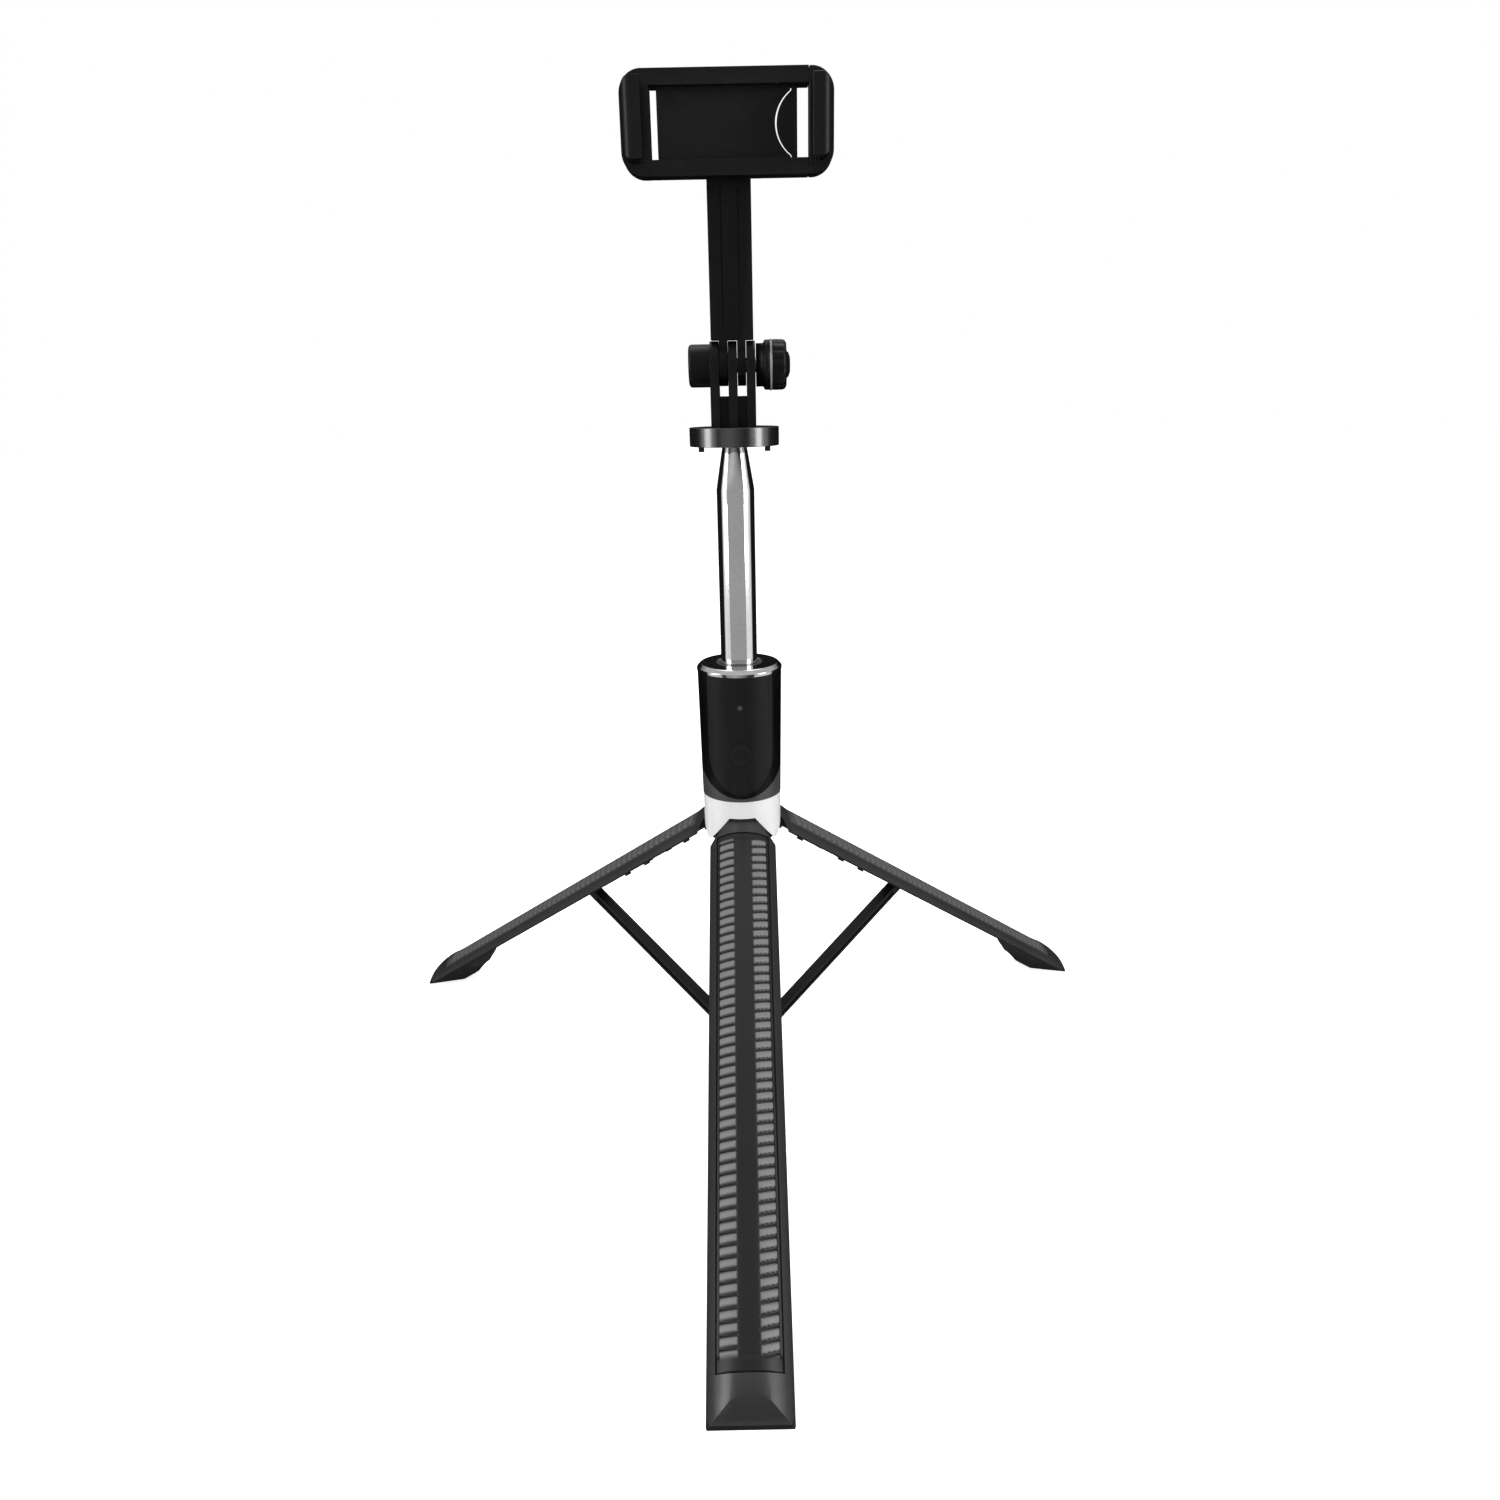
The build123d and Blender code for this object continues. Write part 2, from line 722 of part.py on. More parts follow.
with BuildPart() as coin_cell:
    with BuildSketch(Plane.XZ.offset(-cell_back)):
        with Locations((0, cell_height)):
            Circle(cell_radius)
    extrude(amount=cell_thickness)
save(coin_cell.part, "coin_cell")

flange_back = -button_flange_front - button_flange_thickness

with BuildPart() as shutter_button:
    with BuildSketch(Plane.XZ.offset(flange_back)):
        with Locations((0, button_height)):
            Circle(button_flange)
    extrude(amount=button_flange_thickness)
    with BuildSketch(Plane.XZ.offset(flange_back)):
        with Locations((0, button_height)):
            Circle(button_radius)
    extrude(amount=head_radius_high)
    with BuildSketch(Plane.XZ.offset(switch_front + button_travel + running_gap / 2)):
        with Locations((0, button_height)):
            Circle(button_plunger)
    extrude(until=Until.NEXT)
    head_shape(mode=Mode.INTERSECT)
save(shutter_button.part, "shutter_button")

# --- Pole -----------------------------------------------------------------

spigot_radius = tube_radius - tube_wall

with BuildPart() as pole_hub:
    with BuildSketch(Plane.XY.offset(hub_pivot - hub_height / 2)):
        Circle(hub_core)
    extrude(amount=hub_height)
    for angle in leg_angles.values():
        tongue_plane = Plane((0, 0, hub_pivot), x_dir=(cos(radians(angle)), sin(radians(angle)), 0),
                             z_dir=(sin(radians(angle)), -cos(radians(angle)), 0))
        with BuildSketch(tongue_plane):
            with Locations((hinge_radius / 2 + 1, 0)):
                Rectangle(hinge_radius - 2, 2 * link_eye)
            with Locations((hinge_radius, 0)):
                Circle(link_eye)
                Circle(link_pin_radius, mode=Mode.SUBTRACT)
        extrude(amount=hub_tongue / 2, both=True)
    with BuildSketch(Plane.XY.offset(tube_base)):
        d_profile(spigot_radius)
    extrude(amount=spigot_length)
    with BuildSketch(Plane.XZ.offset(-tube_radius)):
        with Locations((0, tube_base + spigot_length / 2)):
            Circle(screw_radius)
    extrude(amount=tube_radius - screw_radius, mode=Mode.SUBTRACT)
save(pole_hub.part, "pole_hub")

with BuildPart() as hub_screw:
    with BuildSketch(Plane.XZ.offset(-tube_radius + tube_wall / 2)):
        with Locations((0, tube_base + spigot_length / 2)):
            Circle(screw_radius)
    extrude(amount=tube_radius - screw_radius - tube_wall / 2)
save(hub_screw.part, "hub_screw")

with BuildPart() as hub_pin:
    with BuildSketch(Plane.XZ):
        with Locations((hinge_radius, hub_pivot)):
            Circle(link_pin_radius)
    extrude(amount=brace_width / 2, both=True)
pins = [Location((0, 0, 0), (0, 0, angle)) * hub_pin.part for angle in leg_angles.values()]
save(Compound(children=[pin.solid() for pin in pins]), "hub_pins")


def pole_section(index):
    """Section 0 is the outer tube; each further one slides inside the last."""
    radius = tube_radius - index * tube_step
    last = index == section_count
    base = tube_base if index == 0 else tube_base + spigot_length + 2 * index
    top = tube_top + ferrule_straight if last else tube_top
    with BuildPart() as section:
        with BuildSketch(Plane.XY.offset(base)):
            d_profile(radius)
        extrude(amount=top - base)
        bore_top = top if last else top - lip_length
        with BuildSketch(Plane.XY.offset(base)):
            d_profile(radius - tube_wall)
        extrude(amount=bore_top - base, mode=Mode.SUBTRACT)
        if not last:
            with BuildSketch(Plane.XY.offset(base)):
                d_profile(radius - tube_step + running_gap)
            extrude(amount=top - base, mode=Mode.SUBTRACT)
    return section.part


def section_bush(index):
    radius = tube_radius - index * tube_step
    bore = radius + tube_step - tube_wall
    with BuildPart() as bush:
        with BuildSketch(Plane.XY.offset(tube_base + spigot_length + 2 * index)):
            d_profile(bore - running_gap)
        extrude(amount=bush_length)
        with BuildSketch(Plane.XY.offset(tube_base + spigot_length + 2 * index)):
            d_profile(radius)
        extrude(amount=bush_length, mode=Mode.SUBTRACT)
    return bush.part


with BuildPart() as pole_tube:
    add(pole_section(0))
    with BuildSketch(Plane.XZ.offset(-tube_radius - 1)):
        with Locations((0, tube_base + spigot_length / 2)):
            Circle(screw_radius)
    extrude(amount=tube_radius, mode=Mode.SUBTRACT)
save(pole_tube.part, "pole_tube")
for index in range(1, section_count + 1):
    save(pole_section(index), f"pole_section_{index}")
    save(section_bush(index), f"section_bush_{index}")

# --- Ferrule and swivel plate ---------------------------------------------

swivel_shank = 1.5
swivel_head = 3.4
swivel_head_height = 1.8
swivel_sink = 3.2           # plate top down to the screw's seat
swivel_thread = 8.0
ferrule_top = plate_bottom - side_gap / 2

with BuildPart() as pole_ferrule:
    with BuildSketch(Plane.XY.offset(tube_top)):
        d_profile(tube_radius)
    extrude(amount=ferrule_straight)
    with BuildSketch(Plane.XY.offset(tube_top + ferrule_straight)):
        d_profile(tube_radius)
    with BuildSketch(Plane.XY.offset(ferrule_top)):
        Circle(ferrule_neck)
    loft()
    with BuildSketch(Plane.XY.offset(tube_top)):
        d_profile(tube_radius - section_count * tube_step)
    extrude(amount=ferrule_straight, mode=Mode.SUBTRACT)
    with BuildSketch(Plane.XY.offset(ferrule_top)):
        Circle(swivel_shank)
    extrude(amount=-swivel_thread, mode=Mode.SUBTRACT)
save(pole_ferrule.part, "pole_ferrule")

with BuildPart() as swivel_screw:
    with BuildSketch(Plane.XY.offset(ferrule_top - swivel_thread)):
        Circle(swivel_shank)
    extrude(amount=swivel_thread + side_gap / 2 + plate_thickness - swivel_sink)
    with BuildSketch(Plane.XY.offset(plate_top - swivel_sink + side_gap)):
        Circle(swivel_head)
    extrude(amount=swivel_head_height)
    with BuildSketch(Plane.XY.offset(plate_top - swivel_sink)):
        Circle(swivel_shank)
    extrude(amount=side_gap)
save(swivel_screw.part, "swivel_screw")

stud_spots = [(-stud_offset, 0), (stud_offset, 0)]

with BuildPart() as swivel_plate:
    with BuildSketch(Plane.XY.offset(plate_bottom)):
        Circle(plate_radius)
    extrude(amount=plate_thickness)
    with BuildSketch(Plane.XY.offset(plate_bottom)):
        Circle(swivel_shank + running_gap)
    extrude(amount=plate_thickness, mode=Mode.SUBTRACT)
    with BuildSketch(Plane.XY.offset(plate_top)):
        Circle(swivel_head + side_gap)
    extrude(amount=-swivel_sink, mode=Mode.SUBTRACT)
    with BuildSketch(Plane.XY.offset(plate_bottom)):
        with Locations(*stud_spots):
            Circle(stud_radius)
    extrude(amount=stud_drop, mode=Mode.SUBTRACT)
save(swivel_plate.part, "swivel_plate")

with BuildPart() as plate_studs:
    with BuildSketch(Plane.XY.offset(plate_bottom - stud_drop)):
        with Locations(*stud_spots):
            Circle(stud_radius)
    extrude(amount=2 * stud_drop)
save(plate_studs.part, "plate_studs")

# --- Fork, tilt bolt and knob ---------------------------------------------

with BuildPart() as fork_bracket:
    with BuildSketch(Plane.YZ.offset(-fork_half)):
        with Locations((0, (plate_top + tilt_height) / 2)):
            Rectangle(2 * prong_radius, pivot_rise)
        with Locations((0, tilt_height)):
            Circle(prong_radius)
    extrude(amount=2 * fork_half)
    with BuildSketch(Plane.YZ.offset(-nut_block_end)):
        with Locations((0, tilt_height)):
            Circle(nut_block_radius)
    extrude(amount=nut_block_width)
    block_rim = fork_bracket.edges().filter_by(GeomType.CIRCLE).group_by(Axis.X)[0]
    fillet(block_rim, block_rounding)
    with BuildSketch(Plane.XY.offset(tilt_height - slot_floor)):
        with Locations(*[(side * (prong_width + slot_width) / 2, 0) for side in (1, -1)]):
            Rectangle(slot_width, 4 * prong_radius)
    extrude(amount=slot_floor + 2 * prong_radius, mode=Mode.SUBTRACT)
    with BuildSketch(Plane.XY.offset(plate_top)):
        with Locations(*[(side * (prong_width + slot_width) / 2, 0) for side in (1, -1)]):
            Rectangle(slot_width, 4 * prong_radius)
            Rectangle(slot_width, 2 * (prong_radius - channel_depth), mode=Mode.SUBTRACT)
    extrude(amount=pivot_rise - slot_floor, mode=Mode.SUBTRACT)
    with BuildSketch(Plane.YZ.offset(-nut_block_end)):
        with Locations((0, tilt_height)):
            Circle(bolt_radius + running_gap)
    extrude(amount=nut_block_end + fork_half, mode=Mode.SUBTRACT)
    with BuildSketch(Plane.YZ.offset(-nut_block_end)):
        with Locations((0, tilt_height)):
            RegularPolygon(nut_flats / 2, 6, major_radius=False)
    extrude(amount=nut_thickness + nut_sink, mode=Mode.SUBTRACT)
save(fork_bracket.part, "fork_bracket")

with BuildPart() as tilt_nut:
    with BuildSketch(Plane.YZ.offset(-nut_block_end + nut_sink)):
        with Locations((0, tilt_height)):
            RegularPolygon(nut_flats / 2, 6, major_radius=False)
            Circle(bolt_radius + running_gap, mode=Mode.SUBTRACT)
    extrude(amount=nut_thickness)
save(tilt_nut.part, "tilt_nut")

knob_start = fork_half + side_gap
knob_body_start = knob_start + knob_neck_width
knob_end = knob_body_start + knob_width

with BuildPart() as tilt_knob:
    with BuildSketch(Plane.YZ.offset(knob_start)):
        with Locations((0, tilt_height)):
            Circle(knob_neck_radius)
    extrude(amount=knob_neck_width)
    with BuildSketch(Plane.YZ.offset(knob_body_start)):
        with Locations((0, tilt_height)):
            Circle(knob_radius)
    extrude(amount=knob_width)
    knob_rim = tilt_knob.edges().filter_by(GeomType.CIRCLE).group_by(Axis.X)[-1]
    fillet(knob_rim, knob_rounding)
    with BuildSketch(Plane.YZ.offset(knob_end)):
        with Locations((0, tilt_height)):
            Circle(knob_dome_radius)
    extrude(amount=knob_dome_width, taper=dome_taper)
    with BuildSketch(Plane.YZ.offset(knob_body_start + lobe_start)):
        with Locations((0, tilt_height)):
            with PolarLocations(knob_radius + lobe_offset, knob_lobes):
                Circle(lobe_radius)
    extrude(amount=knob_width, mode=Mode.SUBTRACT)
    with BuildSketch(Plane.YZ.offset(knob_start)):
        with Locations((0, tilt_height)):
            Circle(bolt_radius)
    extrude(amount=knob_neck_width + knob_width / 2, mode=Mode.SUBTRACT)
save(tilt_knob.part, "tilt_knob")

with BuildPart() as tilt_bolt:
    with BuildSketch(Plane.YZ.offset(-nut_block_end + nut_sink)):
        with Locations((0, tilt_height)):
            Circle(bolt_radius)
    extrude(amount=nut_block_end - nut_sink + knob_start + knob_neck_width + knob_width / 2)
save(tilt_bolt.part, "tilt_bolt")

# --- Arm ------------------------------------------------------------------

tongue_thickness = slot_width - side_gap
arm_foot = tilt_height + prong_radius + side_gap

with BuildPart() as phone_arm:
    with BuildSketch(Plane.YZ.offset(-arm_width / 2)):
        with Locations((0, (arm_foot + holder_pivot) / 2)):
            Rectangle(arm_depth, holder_pivot - arm_foot)
    extrude(amount=arm_width)
    with BuildSketch(Plane.XZ.offset(-arm_depth / 2)):
        with Locations((0, holder_pivot)):
            Circle(arm_width / 2)
    extrude(amount=arm_depth)
    for side in (1, -1):
        middle = side * (prong_width + slot_width) / 2
        with BuildSketch(Plane.YZ.offset(middle - tongue_thickness / 2)):
            with Locations((0, tilt_height)):
                Circle(tongue_radius)
            with Locations((0, tilt_height + arm_shoulder / 2)):
                Rectangle(arm_depth, arm_shoulder)
        extrude(amount=tongue_thickness)
    with BuildSketch(Plane.XZ.offset(arm_depth / 2)):
        groove_top = holder_pivot - holder_height / 2 - 2
        groove_bottom = tilt_height + arm_shoulder + 2
        groove_spots = [(side * arm_groove_offset, (groove_bottom + groove_top) / 2) for side in (1, -1)]
        with Locations(*groove_spots):
            SlotOverall(groove_top - groove_bottom, arm_groove_width, rotation=90)
    extrude(amount=-arm_groove_depth, mode=Mode.SUBTRACT)
    with BuildSketch(Plane.YZ.offset(-arm_width / 2)):
        with Locations((0, tilt_height)):
            Circle(bolt_radius + running_gap)
    extrude(amount=arm_width, mode=Mode.SUBTRACT)
    with BuildSketch(Plane.XZ.offset(-arm_depth / 2)):
        with Locations((0, holder_pivot)):
            Circle(holder_pin_radius + running_gap)
    extrude(amount=arm_depth, mode=Mode.SUBTRACT)
save(phone_arm.part, "phone_arm")

# --- Phone holder ---------------------------------------------------------

half_width = holder_width / 2
half_height = holder_height / 2
cover_front = holder_back - cover_thickness
slider_face = frame_inner + end_lap
rail_end = slider_face - seat_gap
jaw_outer = half_width - jaw_margin
jaw_face = jaw_outer - jaw_wall
lip_back = jaw_front + jaw_lip_depth
panel_back = panel_front + panel_thickness
pin_end = panel_front + pin_cover
panel_end = panel_half - link_width - side_gap
link_back = panel_back + side_gap / 2
link_front = panel_front - side_gap / 2
tab_centre = panel_half - tab_reach + tab_radius + tab_gap
bar_middle = (rail_inner + half_height) / 2
bar_front = rail_front + bar_cover
bar_back = bar_front + slide_bar_depth
bar_end = slider_face - slide_bar_length
channel_front = bar_front - side_gap / 2
channel_height = slide_bar_height + 2 * seat_gap
channel_start = bar_end - side_gap
channel_end = slider_face - spring_stop


def holder_plane(y):
    """A plane facing forwards at this depth, centred on the holder."""
    return Plane((0, y, holder_pivot), x_dir=(1, 0, 0), z_dir=(0, -1, 0))


def block(left, right, low, high, back, front, mode=Mode.ADD):
    """A plain block; low and high are measured from the holder's pivot."""
    centre = ((left + right) / 2, (back + front) / 2, holder_pivot + (low + high) / 2)
    with Locations(centre):
        Box(right - left, back - front, high - low, mode=mode)


def pairs(offset):
    """The same height above and below the holder's pivot."""
    return (offset, -offset)


with BuildPart() as holder_outline:
    with BuildSketch(holder_plane(holder_back)):
        RectangleRounded(holder_width, holder_height, holder_corner)
    extrude(amount=rail_depth)

# The right jaw, seen from above as a wall with a lip and a rounded outer corner
with BuildPart() as jaw:
    with BuildSketch(Plane.XY.offset(holder_pivot - jaw_half)) as jaw_plan:
        Polygon(
            (jaw_face, rail_front + 1),
            (jaw_outer, rail_front + 1),
            (jaw_outer, jaw_front),
            (jaw_face - jaw_lip, jaw_front),
            (jaw_face - jaw_lip, lip_back),
            (jaw_face, lip_back),
            align=None,
        )
        fillet(jaw_plan.vertices().group_by(Axis.Y)[0].sort_by(Axis.X)[-1], jaw_corner)
    extrude(amount=2 * jaw_half)
    with BuildSketch(holder_plane(holder_back)):
        with Locations((holder_width / 2, 0)):
            RectangleRounded(holder_width, 2 * jaw_half, jaw_corner)
        with Locations((jaw_outer - jaw_wall, 0)):
            RectangleRounded(2 * jaw_wall, 2 * jaw_half, jaw_corner, mode=Mode.INTERSECT)
    extrude(amount=holder_back - jaw_front, mode=Mode.INTERSECT)

with BuildPart() as tab_bite:
    with BuildSketch(holder_plane(holder_back)):
        with Locations((tab_centre, 0)):
            Circle(tab_radius + tab_gap)
        Rectangle(2 * panel_half, 2 * rail_inner, mode=Mode.INTERSECT)
    extrude(amount=holder_back - rail_front)

with BuildPart() as holder_body:
    add(holder_outline.part)
    block(rail_end, half_width, -half_height, half_height, holder_back, rail_front, Mode.SUBTRACT)
    block(-frame_inner, rail_end, -half_height, half_height, holder_back, cover_front, Mode.SUBTRACT)
    block(-frame_inner, rail_end, -rail_inner, rail_inner, panel_front, rail_front, Mode.SUBTRACT)
    block(-frame_inner, rail_end, -rail_inner, rail_inner, cover_front, panel_back, Mode.SUBTRACT)
    block(-frame_inner, -panel_half, -rail_inner, rail_inner, cover_front, rail_front, Mode.SUBTRACT)
    block(panel_end, rail_end, -rail_inner, rail_inner, cover_front, rail_front, Mode.SUBTRACT)
    add(tab_bite.part, mode=Mode.SUBTRACT)
    for middle in pairs(bar_middle):
        low = middle - channel_height / 2
        high = middle + channel_height / 2
        block(channel_start, channel_end, low, high, cover_front, channel_front, Mode.SUBTRACT)
        block(channel_start, rail_end, low, high, bar_back + seat_gap, channel_front, Mode.SUBTRACT)
    block(panel_end, rail_end, -bar_middle, bar_middle, link_back, link_front, Mode.SUBTRACT)
    add(mirror(jaw.part, about=Plane.YZ, mode=Mode.PRIVATE))
    with BuildSketch(holder_plane(holder_back)):
        Circle(holder_pin_radius)
    extrude(amount=holder_back - pin_end, mode=Mode.SUBTRACT)
save(holder_body.part, "holder_body")

with BuildPart() as holder_back_cover:
    add(holder_outline.part)
    block(-frame_inner, rail_end, -half_height, half_height, holder_back, cover_front, Mode.INTERSECT)
    for side in (1, -1):
        left, right = sorted((side * cover_middle, side * holder_width))
        block(left, right, -rail_inner, rail_inner, holder_back, cover_front, Mode.SUBTRACT)
    with BuildSketch(holder_plane(cover_front)):
        Circle(cover_middle / 2)
    extrude(amount=cover_front - panel_back)
    with BuildSketch(holder_plane(holder_back)):
        Circle(holder_pin_radius)
    extrude(amount=holder_back - panel_back, mode=Mode.SUBTRACT)
save(holder_back_cover.part, "holder_back_cover")

with BuildPart() as jaw_slider:
    add(holder_outline.part)
    block(slider_face, half_width, -half_height, half_height, holder_back, rail_front, Mode.INTERSECT)
    add(jaw.part)
    for middle in pairs(bar_middle):
        low = middle - slide_bar_height / 2
        high = middle + slide_bar_height / 2
        block(bar_end, slider_face + 1, low, high, bar_back, bar_front)
        block(bar_end, bar_end + foot_length, low, high, cover_front - seat_gap, bar_back)
    link_left = panel_half - link_width
    link_reach = bar_middle - spring_radius - seat_gap
    block(link_left, panel_half, -link_reach, link_reach, panel_back, panel_front)
    block(link_left, panel_half, -bar_middle, bar_middle, bar_back, panel_front)
    with BuildSketch(holder_plane(panel_back)):
        with Locations((tab_centre, 0)):
            Circle(tab_radius)
        Rectangle(2 * panel_half, 2 * (rail_inner - seat_gap), mode=Mode.INTERSECT)
    extrude(amount=panel_thickness)
save(jaw_slider.part, "jaw_slider")


def jaw_pad(left, right):
    with BuildPart() as jaw_pad_piece:
        block(left, right, -pad_half, pad_half, rail_front - seat_gap, lip_back + seat_gap)
    return jaw_pad_piece.part


save(jaw_pad(-jaw_face, -jaw_face + pad_depth), "jaw_pad_fixed")
save(jaw_pad(jaw_face - pad_depth, jaw_face), "jaw_pad_moving")

spring_start = bar_end + foot_length + seat_gap / 2
spring_end = channel_end - seat_gap / 2
spring_depth = cover_front - seat_gap - spring_radius

with BuildPart() as jaw_springs:
    with BuildSketch(Plane.YZ.offset(spring_start)):
        with Locations(*[(spring_depth, holder_pivot + middle) for middle in pairs(bar_middle)]):
            Circle(spring_radius)
            Circle(spring_radius - spring_wire, mode=Mode.SUBTRACT)
    extrude(amount=spring_end - spring_start)
save(jaw_springs.part, "jaw_springs")

# Pin that carries the holder on the arm; its head turns behind the arm.
pin_head_radius = 4.5
pin_head_height = 1.7

with BuildPart() as holder_screw:
    with BuildSketch(holder_plane(arm_depth / 2 + running_gap)):
        Circle(holder_pin_radius)
    extrude(amount=arm_depth / 2 + running_gap - pin_end)
    with BuildSketch(holder_plane(arm_depth / 2 + running_gap)):
        Circle(pin_head_radius)
    extrude(amount=-pin_head_height)
save(holder_screw.part, "holder_screw")
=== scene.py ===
import json
import math

import bpy
from mathutils import Matrix, Vector


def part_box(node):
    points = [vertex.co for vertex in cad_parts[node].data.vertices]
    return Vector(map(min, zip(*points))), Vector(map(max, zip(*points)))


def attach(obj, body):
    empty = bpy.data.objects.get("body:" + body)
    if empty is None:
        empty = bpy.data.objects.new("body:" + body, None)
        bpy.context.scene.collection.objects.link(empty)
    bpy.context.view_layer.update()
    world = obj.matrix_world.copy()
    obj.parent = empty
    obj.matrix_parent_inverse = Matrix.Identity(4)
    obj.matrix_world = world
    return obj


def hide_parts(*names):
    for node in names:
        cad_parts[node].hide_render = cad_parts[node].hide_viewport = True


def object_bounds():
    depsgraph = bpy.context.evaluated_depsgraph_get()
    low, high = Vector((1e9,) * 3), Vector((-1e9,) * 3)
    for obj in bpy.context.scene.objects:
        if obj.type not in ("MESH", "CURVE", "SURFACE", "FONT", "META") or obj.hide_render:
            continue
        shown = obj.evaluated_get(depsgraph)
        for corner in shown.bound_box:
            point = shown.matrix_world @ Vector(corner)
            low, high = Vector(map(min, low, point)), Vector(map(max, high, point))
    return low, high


# Tripod selfie stick: the looks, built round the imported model. Metres.

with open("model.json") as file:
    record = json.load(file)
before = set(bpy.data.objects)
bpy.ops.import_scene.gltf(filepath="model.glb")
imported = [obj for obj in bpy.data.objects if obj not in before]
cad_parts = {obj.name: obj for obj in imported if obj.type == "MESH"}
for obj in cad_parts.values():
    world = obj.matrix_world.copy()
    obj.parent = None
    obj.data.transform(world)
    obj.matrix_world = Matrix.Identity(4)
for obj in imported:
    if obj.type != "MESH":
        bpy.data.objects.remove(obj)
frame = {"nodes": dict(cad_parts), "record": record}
cad_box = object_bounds()

mm = 0.001
nodes = frame["nodes"]
joints = {joint["name"]: joint for joint in frame["record"]["behaviour"]["joints"]}
sides = ("front", "left", "right")


def middle(node):
    low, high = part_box(node)
    return (Vector(low) + Vector(high)) / 2


def span(node):
    low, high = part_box(node)
    return Vector(high) - Vector(low)


# --- Shader groups --------------------------------------------------------


def new_group(name, inputs, outputs):
    """A shader group with number inputs and the outputs named; returns its tree and both ends."""
    group = bpy.data.node_groups.new(name, "ShaderNodeTree")
    for label, value in inputs.items():
        socket = group.interface.new_socket(label, in_out="INPUT", socket_type="NodeSocketFloat")
        socket.default_value = value
    for label in outputs:
        group.interface.new_socket(label, in_out="OUTPUT", socket_type="NodeSocketFloat")
    start = group.nodes.new("NodeGroupInput")
    end = group.nodes.new("NodeGroupOutput")
    return group, start, end


def math_node(tree, operation, first, second):
    node = tree.nodes.new("ShaderNodeMath")
    node.operation = operation
    for socket, value in zip(node.inputs, (first, second)):
        if isinstance(value, (int, float)):
            socket.default_value = value
        else:
            tree.links.new(value, socket)
    return node.outputs[0]


def moulded_grain():
    """Fine spark-eroded texture of moulded plastic, with faint flow marks."""
    group, start, end = new_group("moulded_grain", {"Fineness": 2500.0, "Flow": 40.0}, ("Height", "Tone"))
    place = group.nodes.new("ShaderNodeTexCoord")
    grain = group.nodes.new("ShaderNodeTexNoise")
    grain.inputs["Detail"].default_value = 3.0
    flow = group.nodes.new("ShaderNodeTexNoise")
    flow.inputs["Detail"].default_value = 2.0
    for texture, label in ((grain, "Fineness"), (flow, "Flow")):
        group.links.new(place.outputs["Object"], texture.inputs["Vector"])
        group.links.new(start.outputs[label], texture.inputs["Scale"])
    tone = math_node(group, "ADD", grain.outputs["Fac"], flow.outputs["Fac"])
    group.links.new(grain.outputs["Fac"], end.inputs["Height"])
    group.links.new(math_node(group, "MULTIPLY", tone, 0.5), end.inputs["Tone"])
    return group


def edge_highlight_mask():
    """Mask of the outer, convex edges, broken into patches: a painted highlight goes on these edges, and
    they are also made smoother.
    """
    group, start, end = new_group("edge_highlight_mask", {"Reach": 0.06, "Patches": 180.0}, ("Mask",))
    shape = group.nodes.new("ShaderNodeNewGeometry")
    place = group.nodes.new("ShaderNodeTexCoord")
    patches = group.nodes.new("ShaderNodeTexNoise")
    group.links.new(place.outputs["Object"], patches.inputs["Vector"])
    group.links.new(start.outputs["Patches"], patches.inputs["Scale"])
    above = math_node(group, "SUBTRACT", shape.outputs["Pointiness"], 0.5)
    share = math_node(group, "DIVIDE", above, start.outputs["Reach"])
    broken = math_node(group, "MULTIPLY", share, patches.outputs["Fac"])
    clamp = group.nodes.new("ShaderNodeClamp")
    group.links.new(broken, clamp.inputs["Value"])
    group.links.new(clamp.outputs["Result"], end.inputs["Mask"])
    return group


def drawn_lines():
    """Fine lines along the pole, left by drawing and polishing the tube."""
    group, start, end = new_group("drawn_lines", {"Fineness": 900.0, "Stretch": 0.02}, ("Height",))
    place = group.nodes.new("ShaderNodeTexCoord")
    stretch = group.nodes.new("ShaderNodeMapping")
    along = group.nodes.new("ShaderNodeCombineXYZ")
    along.inputs["X"].default_value = 1.0
    along.inputs["Y"].default_value = 1.0
    group.links.new(start.outputs["Stretch"], along.inputs["Z"])
    lines = group.nodes.new("ShaderNodeTexNoise")
    lines.inputs["Detail"].default_value = 2.0
    group.links.new(place.outputs["Object"], stretch.inputs["Vector"])
    group.links.new(along.outputs["Vector"], stretch.inputs["Scale"])
    group.links.new(stretch.outputs["Vector"], lines.inputs["Vector"])
    group.links.new(start.outputs["Fineness"], lines.inputs["Scale"])
    group.links.new(lines.outputs["Fac"], end.inputs["Height"])
    return group


grain_group = moulded_grain()
edge_highlight_group = edge_highlight_mask()
lines_group = drawn_lines()


def place_group(tree, group, **values):
    node = tree.nodes.new("ShaderNodeGroup")
    node.node_tree = group
    for label, value in values.items():
        node.inputs[label].default_value = value
    return node


def ramp(tree, source, stops):
    node = tree.nodes.new("ShaderNodeValToRGB")
    node.color_ramp.elements[0].position = stops[0][0]
    node.color_ramp.elements[0].color = stops[0][1]
    node.color_ramp.elements[1].position = stops[1][0]
    node.color_ramp.elements[1].color = stops[1][1]
    tree.links.new(source, node.inputs["Fac"])
    return node.outputs["Color"]


def spread(tree, source, low, high, start=0.0, end=1.0):
    """From low at start to high at end, level outside them."""
    node = tree.nodes.new("ShaderNodeMapRange")
    node.inputs["From Min"].default_value = start
    node.inputs["From Max"].default_value = end
    node.inputs["To Min"].default_value = low
    node.inputs["To Max"].default_value = high
    tree.links.new(source, node.inputs["Value"])
    return node.outputs["Result"]


